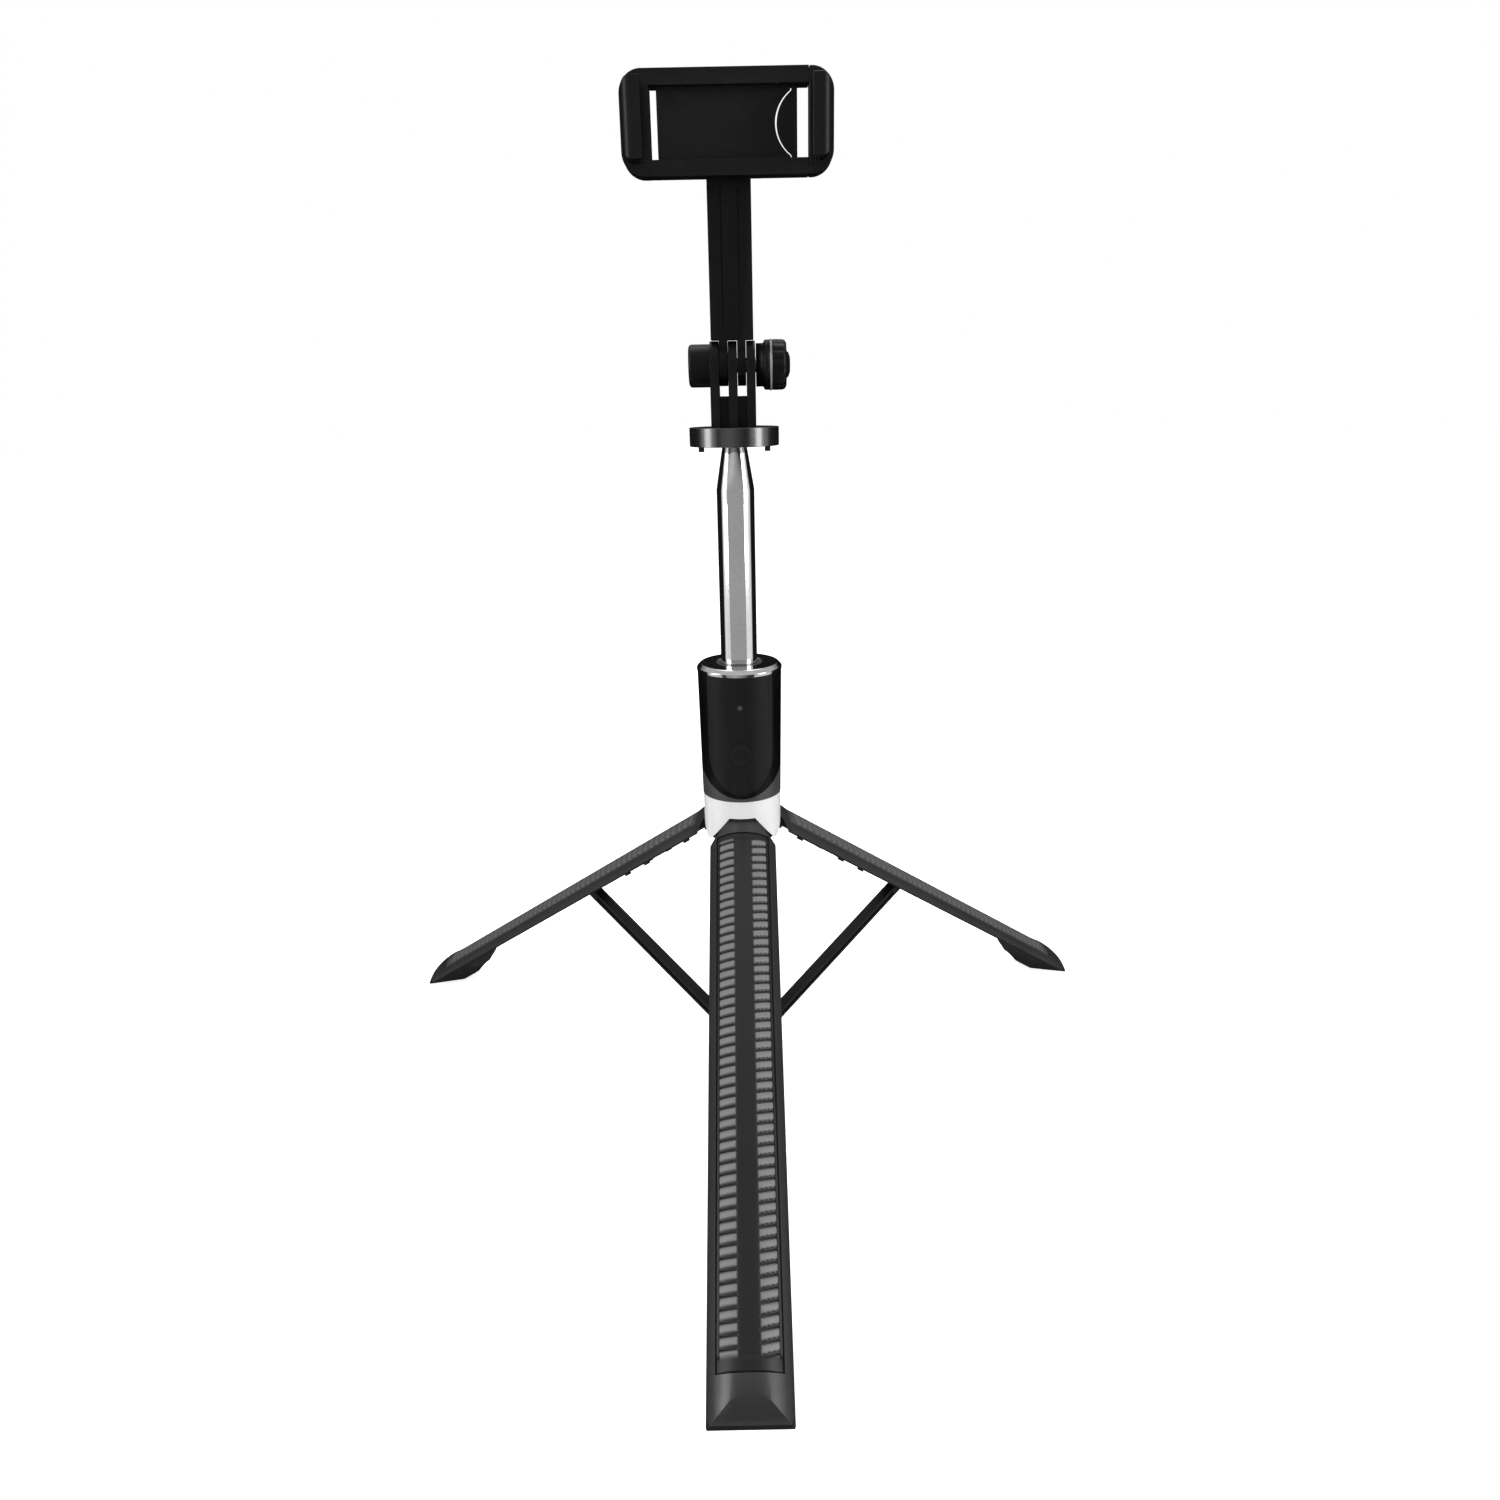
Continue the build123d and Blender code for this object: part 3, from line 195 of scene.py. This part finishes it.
def mix(tree, share, first, second):
    """Colour between two; each is a colour or a socket."""
    node = tree.nodes.new("ShaderNodeMix")
    node.data_type = "RGBA"
    tree.links.new(share, node.inputs["Factor"])
    for label, value in (("A", first), ("B", second)):
        if isinstance(value, tuple):
            node.inputs[label].default_value = value
        else:
            tree.links.new(value, node.inputs[label])
    return node.outputs["Result"]


def bump_normal(tree, source, strength, depth):
    node = tree.nodes.new("ShaderNodeBump")
    node.inputs["Strength"].default_value = strength
    node.inputs["Distance"].default_value = depth
    tree.links.new(source, node.inputs["Height"])
    return node.outputs["Normal"]


def grey(value, tint=1.0):
    return (value, value, value * tint, 1.0)


grain_depth = 0.1 * mm
line_depth = 0.05 * mm
rough_spread = 0.05
edge_highlight_tone = 0.5                 # painted highlight: how far convex edges go towards the lighter tone
edge_polish = 0.12              # how much smoother the masked edges are


def plastic(name, dark, light, rough, gloss=0.5, bump=0.04, fineness=2500.0, coat=0.0, tint=1.04):
    """Moulded plastic: tone and roughness wander, the grain is a bump, and convex edges get a painted
    highlight and a smoother finish.
    """
    material = bpy.data.materials.new(name)
    material.use_nodes = True
    tree = material.node_tree
    shader = tree.nodes["Principled BSDF"]
    grain = place_group(tree, grain_group, Fineness=fineness, Flow=45.0)
    # mask of the convex edges, for the painted edge highlight and the smoother finish
    edge_highlight = place_group(tree, edge_highlight_group, Reach=0.08, Patches=220.0)
    tone = ramp(tree, grain.outputs["Tone"], ((0.3, grey(dark, tint)), (0.7, grey(light, tint))))
    edge_highlight_share = math_node(tree, "MULTIPLY", edge_highlight.outputs["Mask"], edge_highlight_tone)
    # painted highlight: convex edges are mixed towards a lighter tone, standing in for edge glints
    edge_highlit = mix(tree, edge_highlight_share, tone, grey(light * 1.7 + 0.004, tint))
    tree.links.new(edge_highlit, shader.inputs["Base Color"])
    even = spread(tree, grain.outputs["Tone"], rough - rough_spread, rough + rough_spread)
    edge_smoothing = math_node(tree, "MULTIPLY", edge_highlight.outputs["Mask"], edge_polish)
    tree.links.new(math_node(tree, "SUBTRACT", even, edge_smoothing), shader.inputs["Roughness"])
    normal = bump_normal(tree, grain.outputs["Height"], bump, grain_depth)
    tree.links.new(normal, shader.inputs["Normal"])
    shader.inputs["Specular IOR Level"].default_value = gloss
    shader.inputs["Coat Weight"].default_value = coat
    shader.inputs["Coat Roughness"].default_value = 0.08
    return material


def metal(name, dark, light, rough, fineness=900.0, stretch=0.02, bump=0.03):
    """Polished or brushed metal with drawn lines and patches of slightly duller finish."""
    material = bpy.data.materials.new(name)
    material.use_nodes = True
    tree = material.node_tree
    shader = tree.nodes["Principled BSDF"]
    shader.inputs["Metallic"].default_value = 1.0
    lines = place_group(tree, lines_group, Fineness=fineness, Stretch=stretch)
    patches = place_group(tree, grain_group, Fineness=700.0, Flow=60.0)
    tone = ramp(tree, patches.outputs["Tone"], ((0.3, grey(dark)), (0.7, grey(light))))
    tree.links.new(tone, shader.inputs["Base Color"])
    patchy = spread(tree, patches.outputs["Tone"], rough * 0.6, rough * 1.4)
    tree.links.new(patchy, shader.inputs["Roughness"])
    normal = bump_normal(tree, lines.outputs["Height"], bump, line_depth)
    tree.links.new(normal, shader.inputs["Normal"])
    return material


def ribbed_plastic(name, dark=0.003, crown_highlight=0.17):
    """The grips' plastic: the rib crowns get a painted highlight, and the grooves keep the dark base
    tone.
    """
    material = plastic(name, dark, dark + 0.003, 0.40, gloss=0.3, bump=0.06)
    tree = material.node_tree
    shader = tree.nodes["Principled BSDF"]
    base = shader.inputs["Base Color"].links[0].from_socket
    crown_highlights = tree.nodes.new("ShaderNodeAttribute")
    crown_highlights.attribute_name = "crown_highlight"
    # painted highlight: the rib crowns are mixed towards a lighter grey
    crown_highlit = mix(tree, crown_highlights.outputs["Fac"], base, grey(crown_highlight, 1.02))
    tree.links.new(crown_highlit, shader.inputs["Base Color"])
    return material


finishes = {
    "holder_black": plastic("holder_black", 0.003, 0.005, 0.42, gloss=0.18),
    "arm_black": plastic("arm_black", 0.002, 0.004, 0.40, gloss=0.14),
    "disc_black": plastic("disc_black", 0.004, 0.007, 0.24, gloss=1.4),
    "head_black": plastic("head_black", 0.0015, 0.003, 0.34, gloss=0.08),
    "remote_black": plastic("remote_black", 0.006, 0.009, 0.45, gloss=0.12),
    "housing_grey": plastic("housing_grey", 0.03, 0.04, 0.45, gloss=0.35),
    "collar_white": plastic("collar_white", 0.66, 0.72, 0.28, bump=0.015, tint=1.0, coat=0.2),
    "leg_grey": plastic("leg_grey", 0.013, 0.020, 0.42, gloss=0.45),
    # lit and shaded copies of one grip plastic: painted light, not a real difference between the legs
    "rib_grey_painted_front_light": ribbed_plastic("rib_grey_painted_front_light"),
    "rib_grey_painted_side_light": ribbed_plastic("rib_grey_painted_side_light", dark=0.05, crown_highlight=0.09),
    "spine_black": plastic("spine_black", 0.006, 0.010, 0.5, gloss=0.2),
    "brace_black": plastic("brace_black", 0.002, 0.004, 0.42, gloss=0.25),
    "line_grey": plastic("line_grey", 0.12, 0.18, 0.3, gloss=0.7),
    "bush_grey": plastic("bush_grey", 0.02, 0.03, 0.5),
    "soft_rubber": plastic("soft_rubber", 0.006, 0.010, 0.75, 0.15, bump=0.12, fineness=1600.0),
    "board_green": plastic("board_green", 0.02, 0.06, 0.4),
    "lamp_smoke": plastic("lamp_smoke", 0.02, 0.03, 0.15, bump=0.01, tint=1.0),
    "chrome": metal("chrome", 0.72, 0.82, 0.08),
    "ring_chrome": metal("ring_chrome", 0.5, 0.62, 0.10),
    "steel": metal("steel", 0.38, 0.5, 0.3, bump=0.06),
}

# --- CAD nodes that stay: softened edges and a finish ---------------------

node_finish = {
    "holder_black": ["holder_body", "jaw_slider", "holder_back_cover"],
    "arm_black": ["phone_arm", "fork_bracket"],
    "disc_black": ["swivel_plate"],
    "head_black": ["remote_cradle"],
    "remote_black": ["remote_face", "remote_rear_shell", "shutter_button"],
    "housing_grey": ["head_housing"],
    "collar_white": ["collar"],
    "leg_grey": [f"leg_shell_{side}" for side in sides],
    "spine_black": [f"leg_spine_{side}" for side in sides] + ["hinge_spider", "pole_hub"],
    "brace_black": [f"brace_{side}" for side in sides],
    "bush_grey": ["tube_bushing"] + [f"section_bush_{index}" for index in range(1, 5)],
    "soft_rubber": [f"foot_pad_{side}" for side in sides]
    + ["jaw_pad_fixed", "jaw_pad_moving", "plate_studs"],
    "board_green": ["remote_board"],
    "lamp_smoke": ["led_window"],
    "chrome": ["pole_tube", "pole_ferrule"] + [f"pole_section_{index}" for index in range(1, 5)],
    "ring_chrome": ["head_top_ring"],
    "steel": [f"brace_pin_{side}" for side in sides]
    + ["leg_hinge_pins", "hub_pins", "hub_screw", "head_screws", "swivel_screw"]
    + ["tilt_bolt", "tilt_nut", "holder_screw", "jaw_springs", "coin_cell"],
}

edge_width = {
    "holder_body": 1.3,
    "jaw_slider": 1.3,
    "holder_back_cover": 0.3,
    "phone_arm": 0.6,
    "fork_bracket": 0.5,
    "swivel_plate": 0.5,
    "collar": 0.25,
    "remote_face": 0.3,
    "head_top_ring": 0.25,
    "pole_hub": 0.4,
}
for side in sides:
    edge_width[f"leg_shell_{side}"] = 0.3
    edge_width[f"brace_{side}"] = 0.35


def soften(node, width):
    """Rounds a node's sharp edges without touching its own vertices."""
    piece = nodes[node]
    weld = piece.modifiers.new("weld", "WELD")
    weld.merge_threshold = 0.002 * mm
    flatten = piece.modifiers.new("flatten", "DECIMATE")
    flatten.decimate_type = "DISSOLVE"
    flatten.angle_limit = math.radians(0.5)
    rounding = piece.modifiers.new("rounding", "BEVEL")
    rounding.width = width * mm
    rounding.segments = 3
    rounding.limit_method = "ANGLE"
    rounding.angle_limit = math.radians(35)
    rounding.use_clamp_overlap = True
    rounding.harden_normals = False
    shading = piece.modifiers.new("shading", "WEIGHTED_NORMAL")
    shading.keep_sharp = True


for finish, names in node_finish.items():
    for node in names:
        data = nodes[node].data
        data.materials.clear()
        data.materials.append(finishes[finish])
for node, width in edge_width.items():
    soften(node, width)

# --- New pieces -----------------------------------------------------------


def add_piece(name, points, faces, finish, body, replaced=()):
    """A mesh in the row frame that rides on a body and may stand for CAD nodes."""
    mesh = bpy.data.meshes.new(name)
    mesh.from_pydata([tuple(point) for point in points], [], faces)
    mesh.validate()
    mesh.update()
    for face in mesh.polygons:
        face.use_smooth = True
    piece = bpy.data.objects.new(name, mesh)
    bpy.context.scene.collection.objects.link(piece)
    mesh.materials.append(finishes[finish])
    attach(piece, body)
    if replaced:
        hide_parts(*replaced)
    return piece


def sheet_faces(rows, columns, wrap=False):
    """Quads over a grid of points, row by row; wrap joins the last column to the first."""
    faces = []
    last = columns if wrap else columns - 1
    for row in range(rows - 1):
        for column in range(last):
            beside = (column + 1) % columns
            low = row * columns
            high = low + columns
            faces.append((low + column, low + beside, high + beside, high + column))
    return faces


# Ribbed grips
hinge_place = Vector(joints["front_leg_fold"]["pos_m"])
hinge_radius = -hinge_place.y
hinge_height = hinge_place.z
fold = math.radians(joints["front_leg_fold"]["range_deg"][1])
grip_half = math.radians(43)
handle_radius = span("leg_grip_front").x / 2 / math.sin(grip_half)
grip_thickness = 0.7 * mm
grip_length = 177.6 * mm
grip_start = 6.4 * mm
rib_pitch = 3.42 * mm
rib_slant = {-1: math.tan(math.radians(1)), 1: math.tan(math.radians(15))}
band_half = 3.2 * mm            # plain band down the middle
rib_edge = 8.9 * mm             # outer end of the ribs, from the middle
rib_rows = 9                    # rows of points per rib
rib_columns = 64
rib_foot = 0.02 * mm
rib_rise = 0.66 * mm
rib_fade = 1.5 * mm
plain_start = 2 * mm            # plain ends of the grip, above and below the ribs
plain_end = 5 * mm
border_height = 0.62 * mm
band_height = 0.30 * mm
end_height = 0.42 * mm
groove_height = 0.10 * mm


def leg_matrix(side):
    """From the folded leg, with its hinge at the origin, to the open leg."""
    place = Vector(joints[f"{side}_leg_fold"]["pos_m"])
    turn = Matrix.Rotation(math.atan2(place.y, place.x), 4, "Z")
    out = Matrix.Translation((hinge_radius, 0, hinge_height))
    return turn @ out @ Matrix.Rotation(-fold, 4, "Y")


def smooth(value, low, high):
    share = min(max((value - low) / (high - low), 0.0), 1.0)
    return share * share * (3 - 2 * share)


def rib_shape(across, down):
    """Height of the grip above its bed, and how far it is up a rib (the mask for the painted crown
    highlight), for one spot.
    """
    side = 1 if across > 0 else -1
    reach = abs(across)
    inside = smooth(reach, band_half, band_half + 0.5 * mm)
    outside = 1 - smooth(reach, rib_edge - 0.4 * mm, rib_edge)
    start = smooth(down, plain_start, plain_start + rib_fade)
    finish = smooth(down, grip_length - plain_end, grip_length - plain_end + rib_fade)
    ends = start * (1 - finish)
    phase = ((down + reach * side * rib_slant[side]) / rib_pitch) % 1.0
    rise = smooth(phase, 0.0, 0.45) * (1 - smooth(phase, 0.85, 1.0))
    mask = inside * outside * ends
    border = border_height * smooth(reach, rib_edge + 0.5 * mm, rib_edge + 0.8 * mm)
    plain = max(band_height * (1 - inside), border, end_height * (1 - ends), groove_height)
    rib = rib_foot + rib_rise * rise
    return mask * rib + (1 - mask) * plain, mask * smooth(rise, 0.55, 0.98)


def grip_points(matrix):
    """Points, faces and painted crown highlight mask of one grip, wrapped round the leg's bed."""
    rows = round(grip_length / rib_pitch * rib_rows)
    bed = handle_radius - grip_thickness
    points = []
    crown_highlights = []
    for row in range(rows + 1):
        down = grip_length * row / rows
        for column in range(rib_columns + 1):
            angle = grip_half * (2 * column / rib_columns - 1)
            edge = 0 if column in (0, rib_columns) or row in (0, rows) else 1
            height, crown_highlight = rib_shape(handle_radius * math.sin(angle), down)
            radius = bed + height * edge
            out = radius * math.cos(angle) - hinge_radius
            across = radius * math.sin(angle)
            points.append(matrix @ Vector((out, across, -grip_start - down)))
            crown_highlights.append(crown_highlight * edge)
    return points, sheet_faces(rows + 1, rib_columns + 1), crown_highlights


for side in sides:
    points, faces, crown_highlights = grip_points(leg_matrix(side))
    name = f"ribbed_grip_{side}"
    # the side legs get a copy of the grip plastic with a lighter, flatter base and weaker crown
    # highlights, painted for how light falls on them
    finish = "rib_grey_painted_front_light" if side == "front" else "rib_grey_painted_side_light"
    grip = add_piece(name, points, faces, finish, f"{side}_leg", [f"leg_grip_{side}"])
    # mask of the painted highlight on the rib crowns
    crown_highlight_mark = grip.data.attributes.new("crown_highlight", "FLOAT", "POINT")
    crown_highlight_mark.data.foreach_set("value", crown_highlights)

# Tilt knob: a necked, fluted knob with a ring near its outer end and a domed cap
knob_low, knob_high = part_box("tilt_knob")
knob_axis = middle("tilt_knob")
knob_radius = (knob_high[2] - knob_low[2]) / 2
knob_length = knob_high[0] - knob_low[0]
flutes = 16
knob_profile = (
    # along, radius, depth of the flutes
    (0.00, 0.50, 0.0),
    (0.00, 0.84, 0.0),
    (0.20, 0.84, 0.0),
    (0.22, 0.88, 0.0),
    (0.24, 0.95, 0.0),
    (0.27, 0.97, 0.0),
    (0.40, 0.97, 0.0),
    (0.41, 1.00, 0.0),
    (0.45, 1.00, 0.0),
    (0.46, 0.96, 0.0),
    (0.49, 0.98, 1.0),
    (0.60, 0.98, 1.0),
    (0.78, 0.97, 1.0),
    (0.84, 0.93, 0.6),
    (0.88, 0.84, 0.0),
    (0.89, 0.56, 0.0),
    (0.90, 0.52, 0.0),
    (0.95, 0.46, 0.0),
    (0.99, 0.30, 0.0),
    (1.00, 0.00, 0.0),
)
knob_line = (0.40, 0.46)        # reach of the bright line, along the knob
flute_depth = 0.3 * mm
knob_columns = flutes * 10
knob_points = []
for along, radius, flute in knob_profile:
    for column in range(knob_columns):
        angle = 2 * math.pi * column / knob_columns
        wave = (0.5 - 0.5 * math.cos(angle * flutes)) ** 2
        reach = max(knob_radius * radius - flute * flute_depth * wave, 0.01 * mm)
        spot = (knob_low[0] + knob_length * along, math.cos(angle) * reach, math.sin(angle) * reach)
        knob_points.append(Vector((spot[0], knob_axis.y + spot[1], knob_axis.z + spot[2])))
knob_faces = sheet_faces(len(knob_profile), knob_columns, wrap=True)
knob_nodes = ["tilt_knob"]
knob = add_piece("fluted_knob", knob_points, knob_faces, "arm_black", "knob", knob_nodes)
knob.data.materials.append(finishes["line_grey"])
for face in knob.data.polygons:
    along = (face.center.x - knob_low[0]) / knob_length
    if knob_line[0] < along < knob_line[1]:
        face.material_index = 1

# --- Floor, light and camera ----------------------------------------------


def stage_material():
    material = bpy.data.materials.new("floor_white")
    material.use_nodes = True
    tree = material.node_tree
    shader = tree.nodes["Principled BSDF"]
    shader.inputs["Roughness"].default_value = 0.9
    shader.inputs["Specular IOR Level"].default_value = 0.0
    speckle = tree.nodes.new("ShaderNodeTexNoise")
    speckle.inputs["Scale"].default_value = 3.0
    tone = ramp(tree, speckle.outputs["Fac"], ((0.3, grey(0.93)), (0.7, grey(0.95))))
    tree.links.new(tone, shader.inputs["Base Color"])
    shader.inputs["Emission Color"].default_value = (1, 1, 1, 1)
    looked_at = tree.nodes.new("ShaderNodeLightPath")
    glow = spread(tree, looked_at.outputs["Is Camera Ray"], 0.0, 0.75)
    tree.links.new(glow, shader.inputs["Emission Strength"])
    clear = tree.nodes.new("ShaderNodeBsdfTransparent")
    choice = tree.nodes.new("ShaderNodeMixShader")
    tree.links.new(looked_at.outputs["Is Glossy Ray"], choice.inputs["Fac"])
    tree.links.new(shader.outputs["BSDF"], choice.inputs[1])
    tree.links.new(clear.outputs["BSDF"], choice.inputs[2])
    tree.links.new(choice.outputs["Shader"], tree.nodes["Material Output"].inputs["Surface"])
    return material


floor_half = 6.0
floor_mesh = bpy.data.meshes.new("floor")
floor_corners = [(x * floor_half, y * floor_half, 0) for x, y in ((-1, -1), (1, -1), (1, 1), (-1, 1))]
floor_mesh.from_pydata(floor_corners, [], [(0, 1, 2, 3)])
floor_mesh.materials.append(stage_material())
floor = bpy.data.objects.new("floor", floor_mesh)
bpy.context.scene.collection.objects.link(floor)

world = bpy.data.worlds.new("studio")
world.use_nodes = True
bpy.context.scene.world = world
world_tree = world.node_tree
backdrop = world_tree.nodes["Background"]
backdrop.inputs["Color"].default_value = (1, 1, 1, 1)
room_light = world_tree.nodes.new("ShaderNodeBackground")
room_light.inputs["Strength"].default_value = 0.9
direction = world_tree.nodes.new("ShaderNodeTexCoord")
parts = world_tree.nodes.new("ShaderNodeSeparateXYZ")
world_tree.links.new(direction.outputs["Generated"], parts.inputs["Vector"])
# Upright bands of light and dark stand round the object, for the polished metal to mirror
turn_about = math_node(world_tree, "ARCTAN2", parts.outputs["X"], parts.outputs["Y"])
share_about = math_node(world_tree, "DIVIDE", turn_about, 2 * math.pi)
room_bands = world_tree.nodes.new("ShaderNodeValToRGB")
room_bands.color_ramp.interpolation = "EASE"
band_stops = (
    # share of a turn, clockwise from the far side, tone
    (0.000, 0.01),
    (0.215, 0.01),
    (0.250, 1.00),
    (0.380, 1.00),
    (0.390, 0.06),
    (0.435, 0.06),
    (0.450, 0.22),
    (0.500, 0.42),
    (0.520, 0.60),
    (0.590, 0.50),
    (0.605, 0.06),
    (0.625, 0.06),
    (0.640, 0.85),
    (0.745, 1.00),
    (0.775, 0.01),
    (1.000, 0.01),
)
room_bands.color_ramp.elements[0].position = band_stops[0][0]
room_bands.color_ramp.elements[0].color = grey(band_stops[0][1])
room_bands.color_ramp.elements[1].position = band_stops[-1][0]
room_bands.color_ramp.elements[1].color = grey(band_stops[-1][1])
for place, tone in band_stops[1:-1]:
    room_bands.color_ramp.elements.new(place).color = grey(tone)
world_tree.links.new(math_node(world_tree, "FRACT", share_about, 0.0), room_bands.inputs["Fac"])
high_up = spread(world_tree, parts.outputs["Z"], 0.0, 1.0, start=0.3, end=0.6)
room_tone = mix(world_tree, high_up, room_bands.outputs["Color"], grey(0.8))
world_tree.links.new(room_tone, room_light.inputs["Color"])
seen = world_tree.nodes.new("ShaderNodeLightPath")
choice = world_tree.nodes.new("ShaderNodeMixShader")
world_tree.links.new(seen.outputs["Is Camera Ray"], choice.inputs["Fac"])
world_tree.links.new(room_light.outputs["Background"], choice.inputs[1])
world_tree.links.new(backdrop.outputs["Background"], choice.inputs[2])
world_tree.links.new(choice.outputs["Shader"], world_tree.nodes["World Output"].inputs["Surface"])


def soft_light(name, place, target, size, power):
    """A rectangular studio lamp at one place, turned towards another."""
    lamp = bpy.data.lights.new(name, "AREA")
    lamp.shape = "RECTANGLE"
    lamp.size, lamp.size_y = size
    lamp.energy = power
    light = bpy.data.objects.new(name, lamp)
    light.location = place
    light.rotation_euler = (Vector(target) - Vector(place)).to_track_quat("-Z", "Y").to_euler()
    bpy.context.scene.collection.objects.link(light)


object_middle = (0, 0, cad_box[1][2] / 2)
soft_light("left_bank", (-1.0, -0.35, 0.5), object_middle, (0.35, 1.0), 6)
soft_light("right_bank", (1.0, -0.45, 0.5), object_middle, (0.35, 1.0), 7)
soft_light("top_bank", (0, 0.3, 1.3), object_middle, (1.0, 0.8), 6)

camera_side = 3.37 * mm
camera_distance = 401.37 * mm
camera_height = 269.68 * mm
camera_tilt = math.radians(17.92)
camera_roll = math.radians(1.111)
right = Vector((1, 0, 0))
up = Vector((0, math.sin(camera_tilt), math.cos(camera_tilt)))
ahead = Vector((0, math.cos(camera_tilt), -math.sin(camera_tilt)))
level = Matrix((right, up, -ahead)).transposed()
lens = bpy.data.cameras.new("camera")
lens.sensor_width = 36.0
lens.lens = 26.55
camera = bpy.data.objects.new("camera", lens)
turned = (level @ Matrix.Rotation(-camera_roll, 3, "Z")).to_4x4()
camera.matrix_world = Matrix.Translation((camera_side, -camera_distance, camera_height)) @ turned
bpy.context.scene.collection.objects.link(camera)
bpy.context.scene.camera = camera
bpy.context.scene.view_settings.view_transform = "Standard"
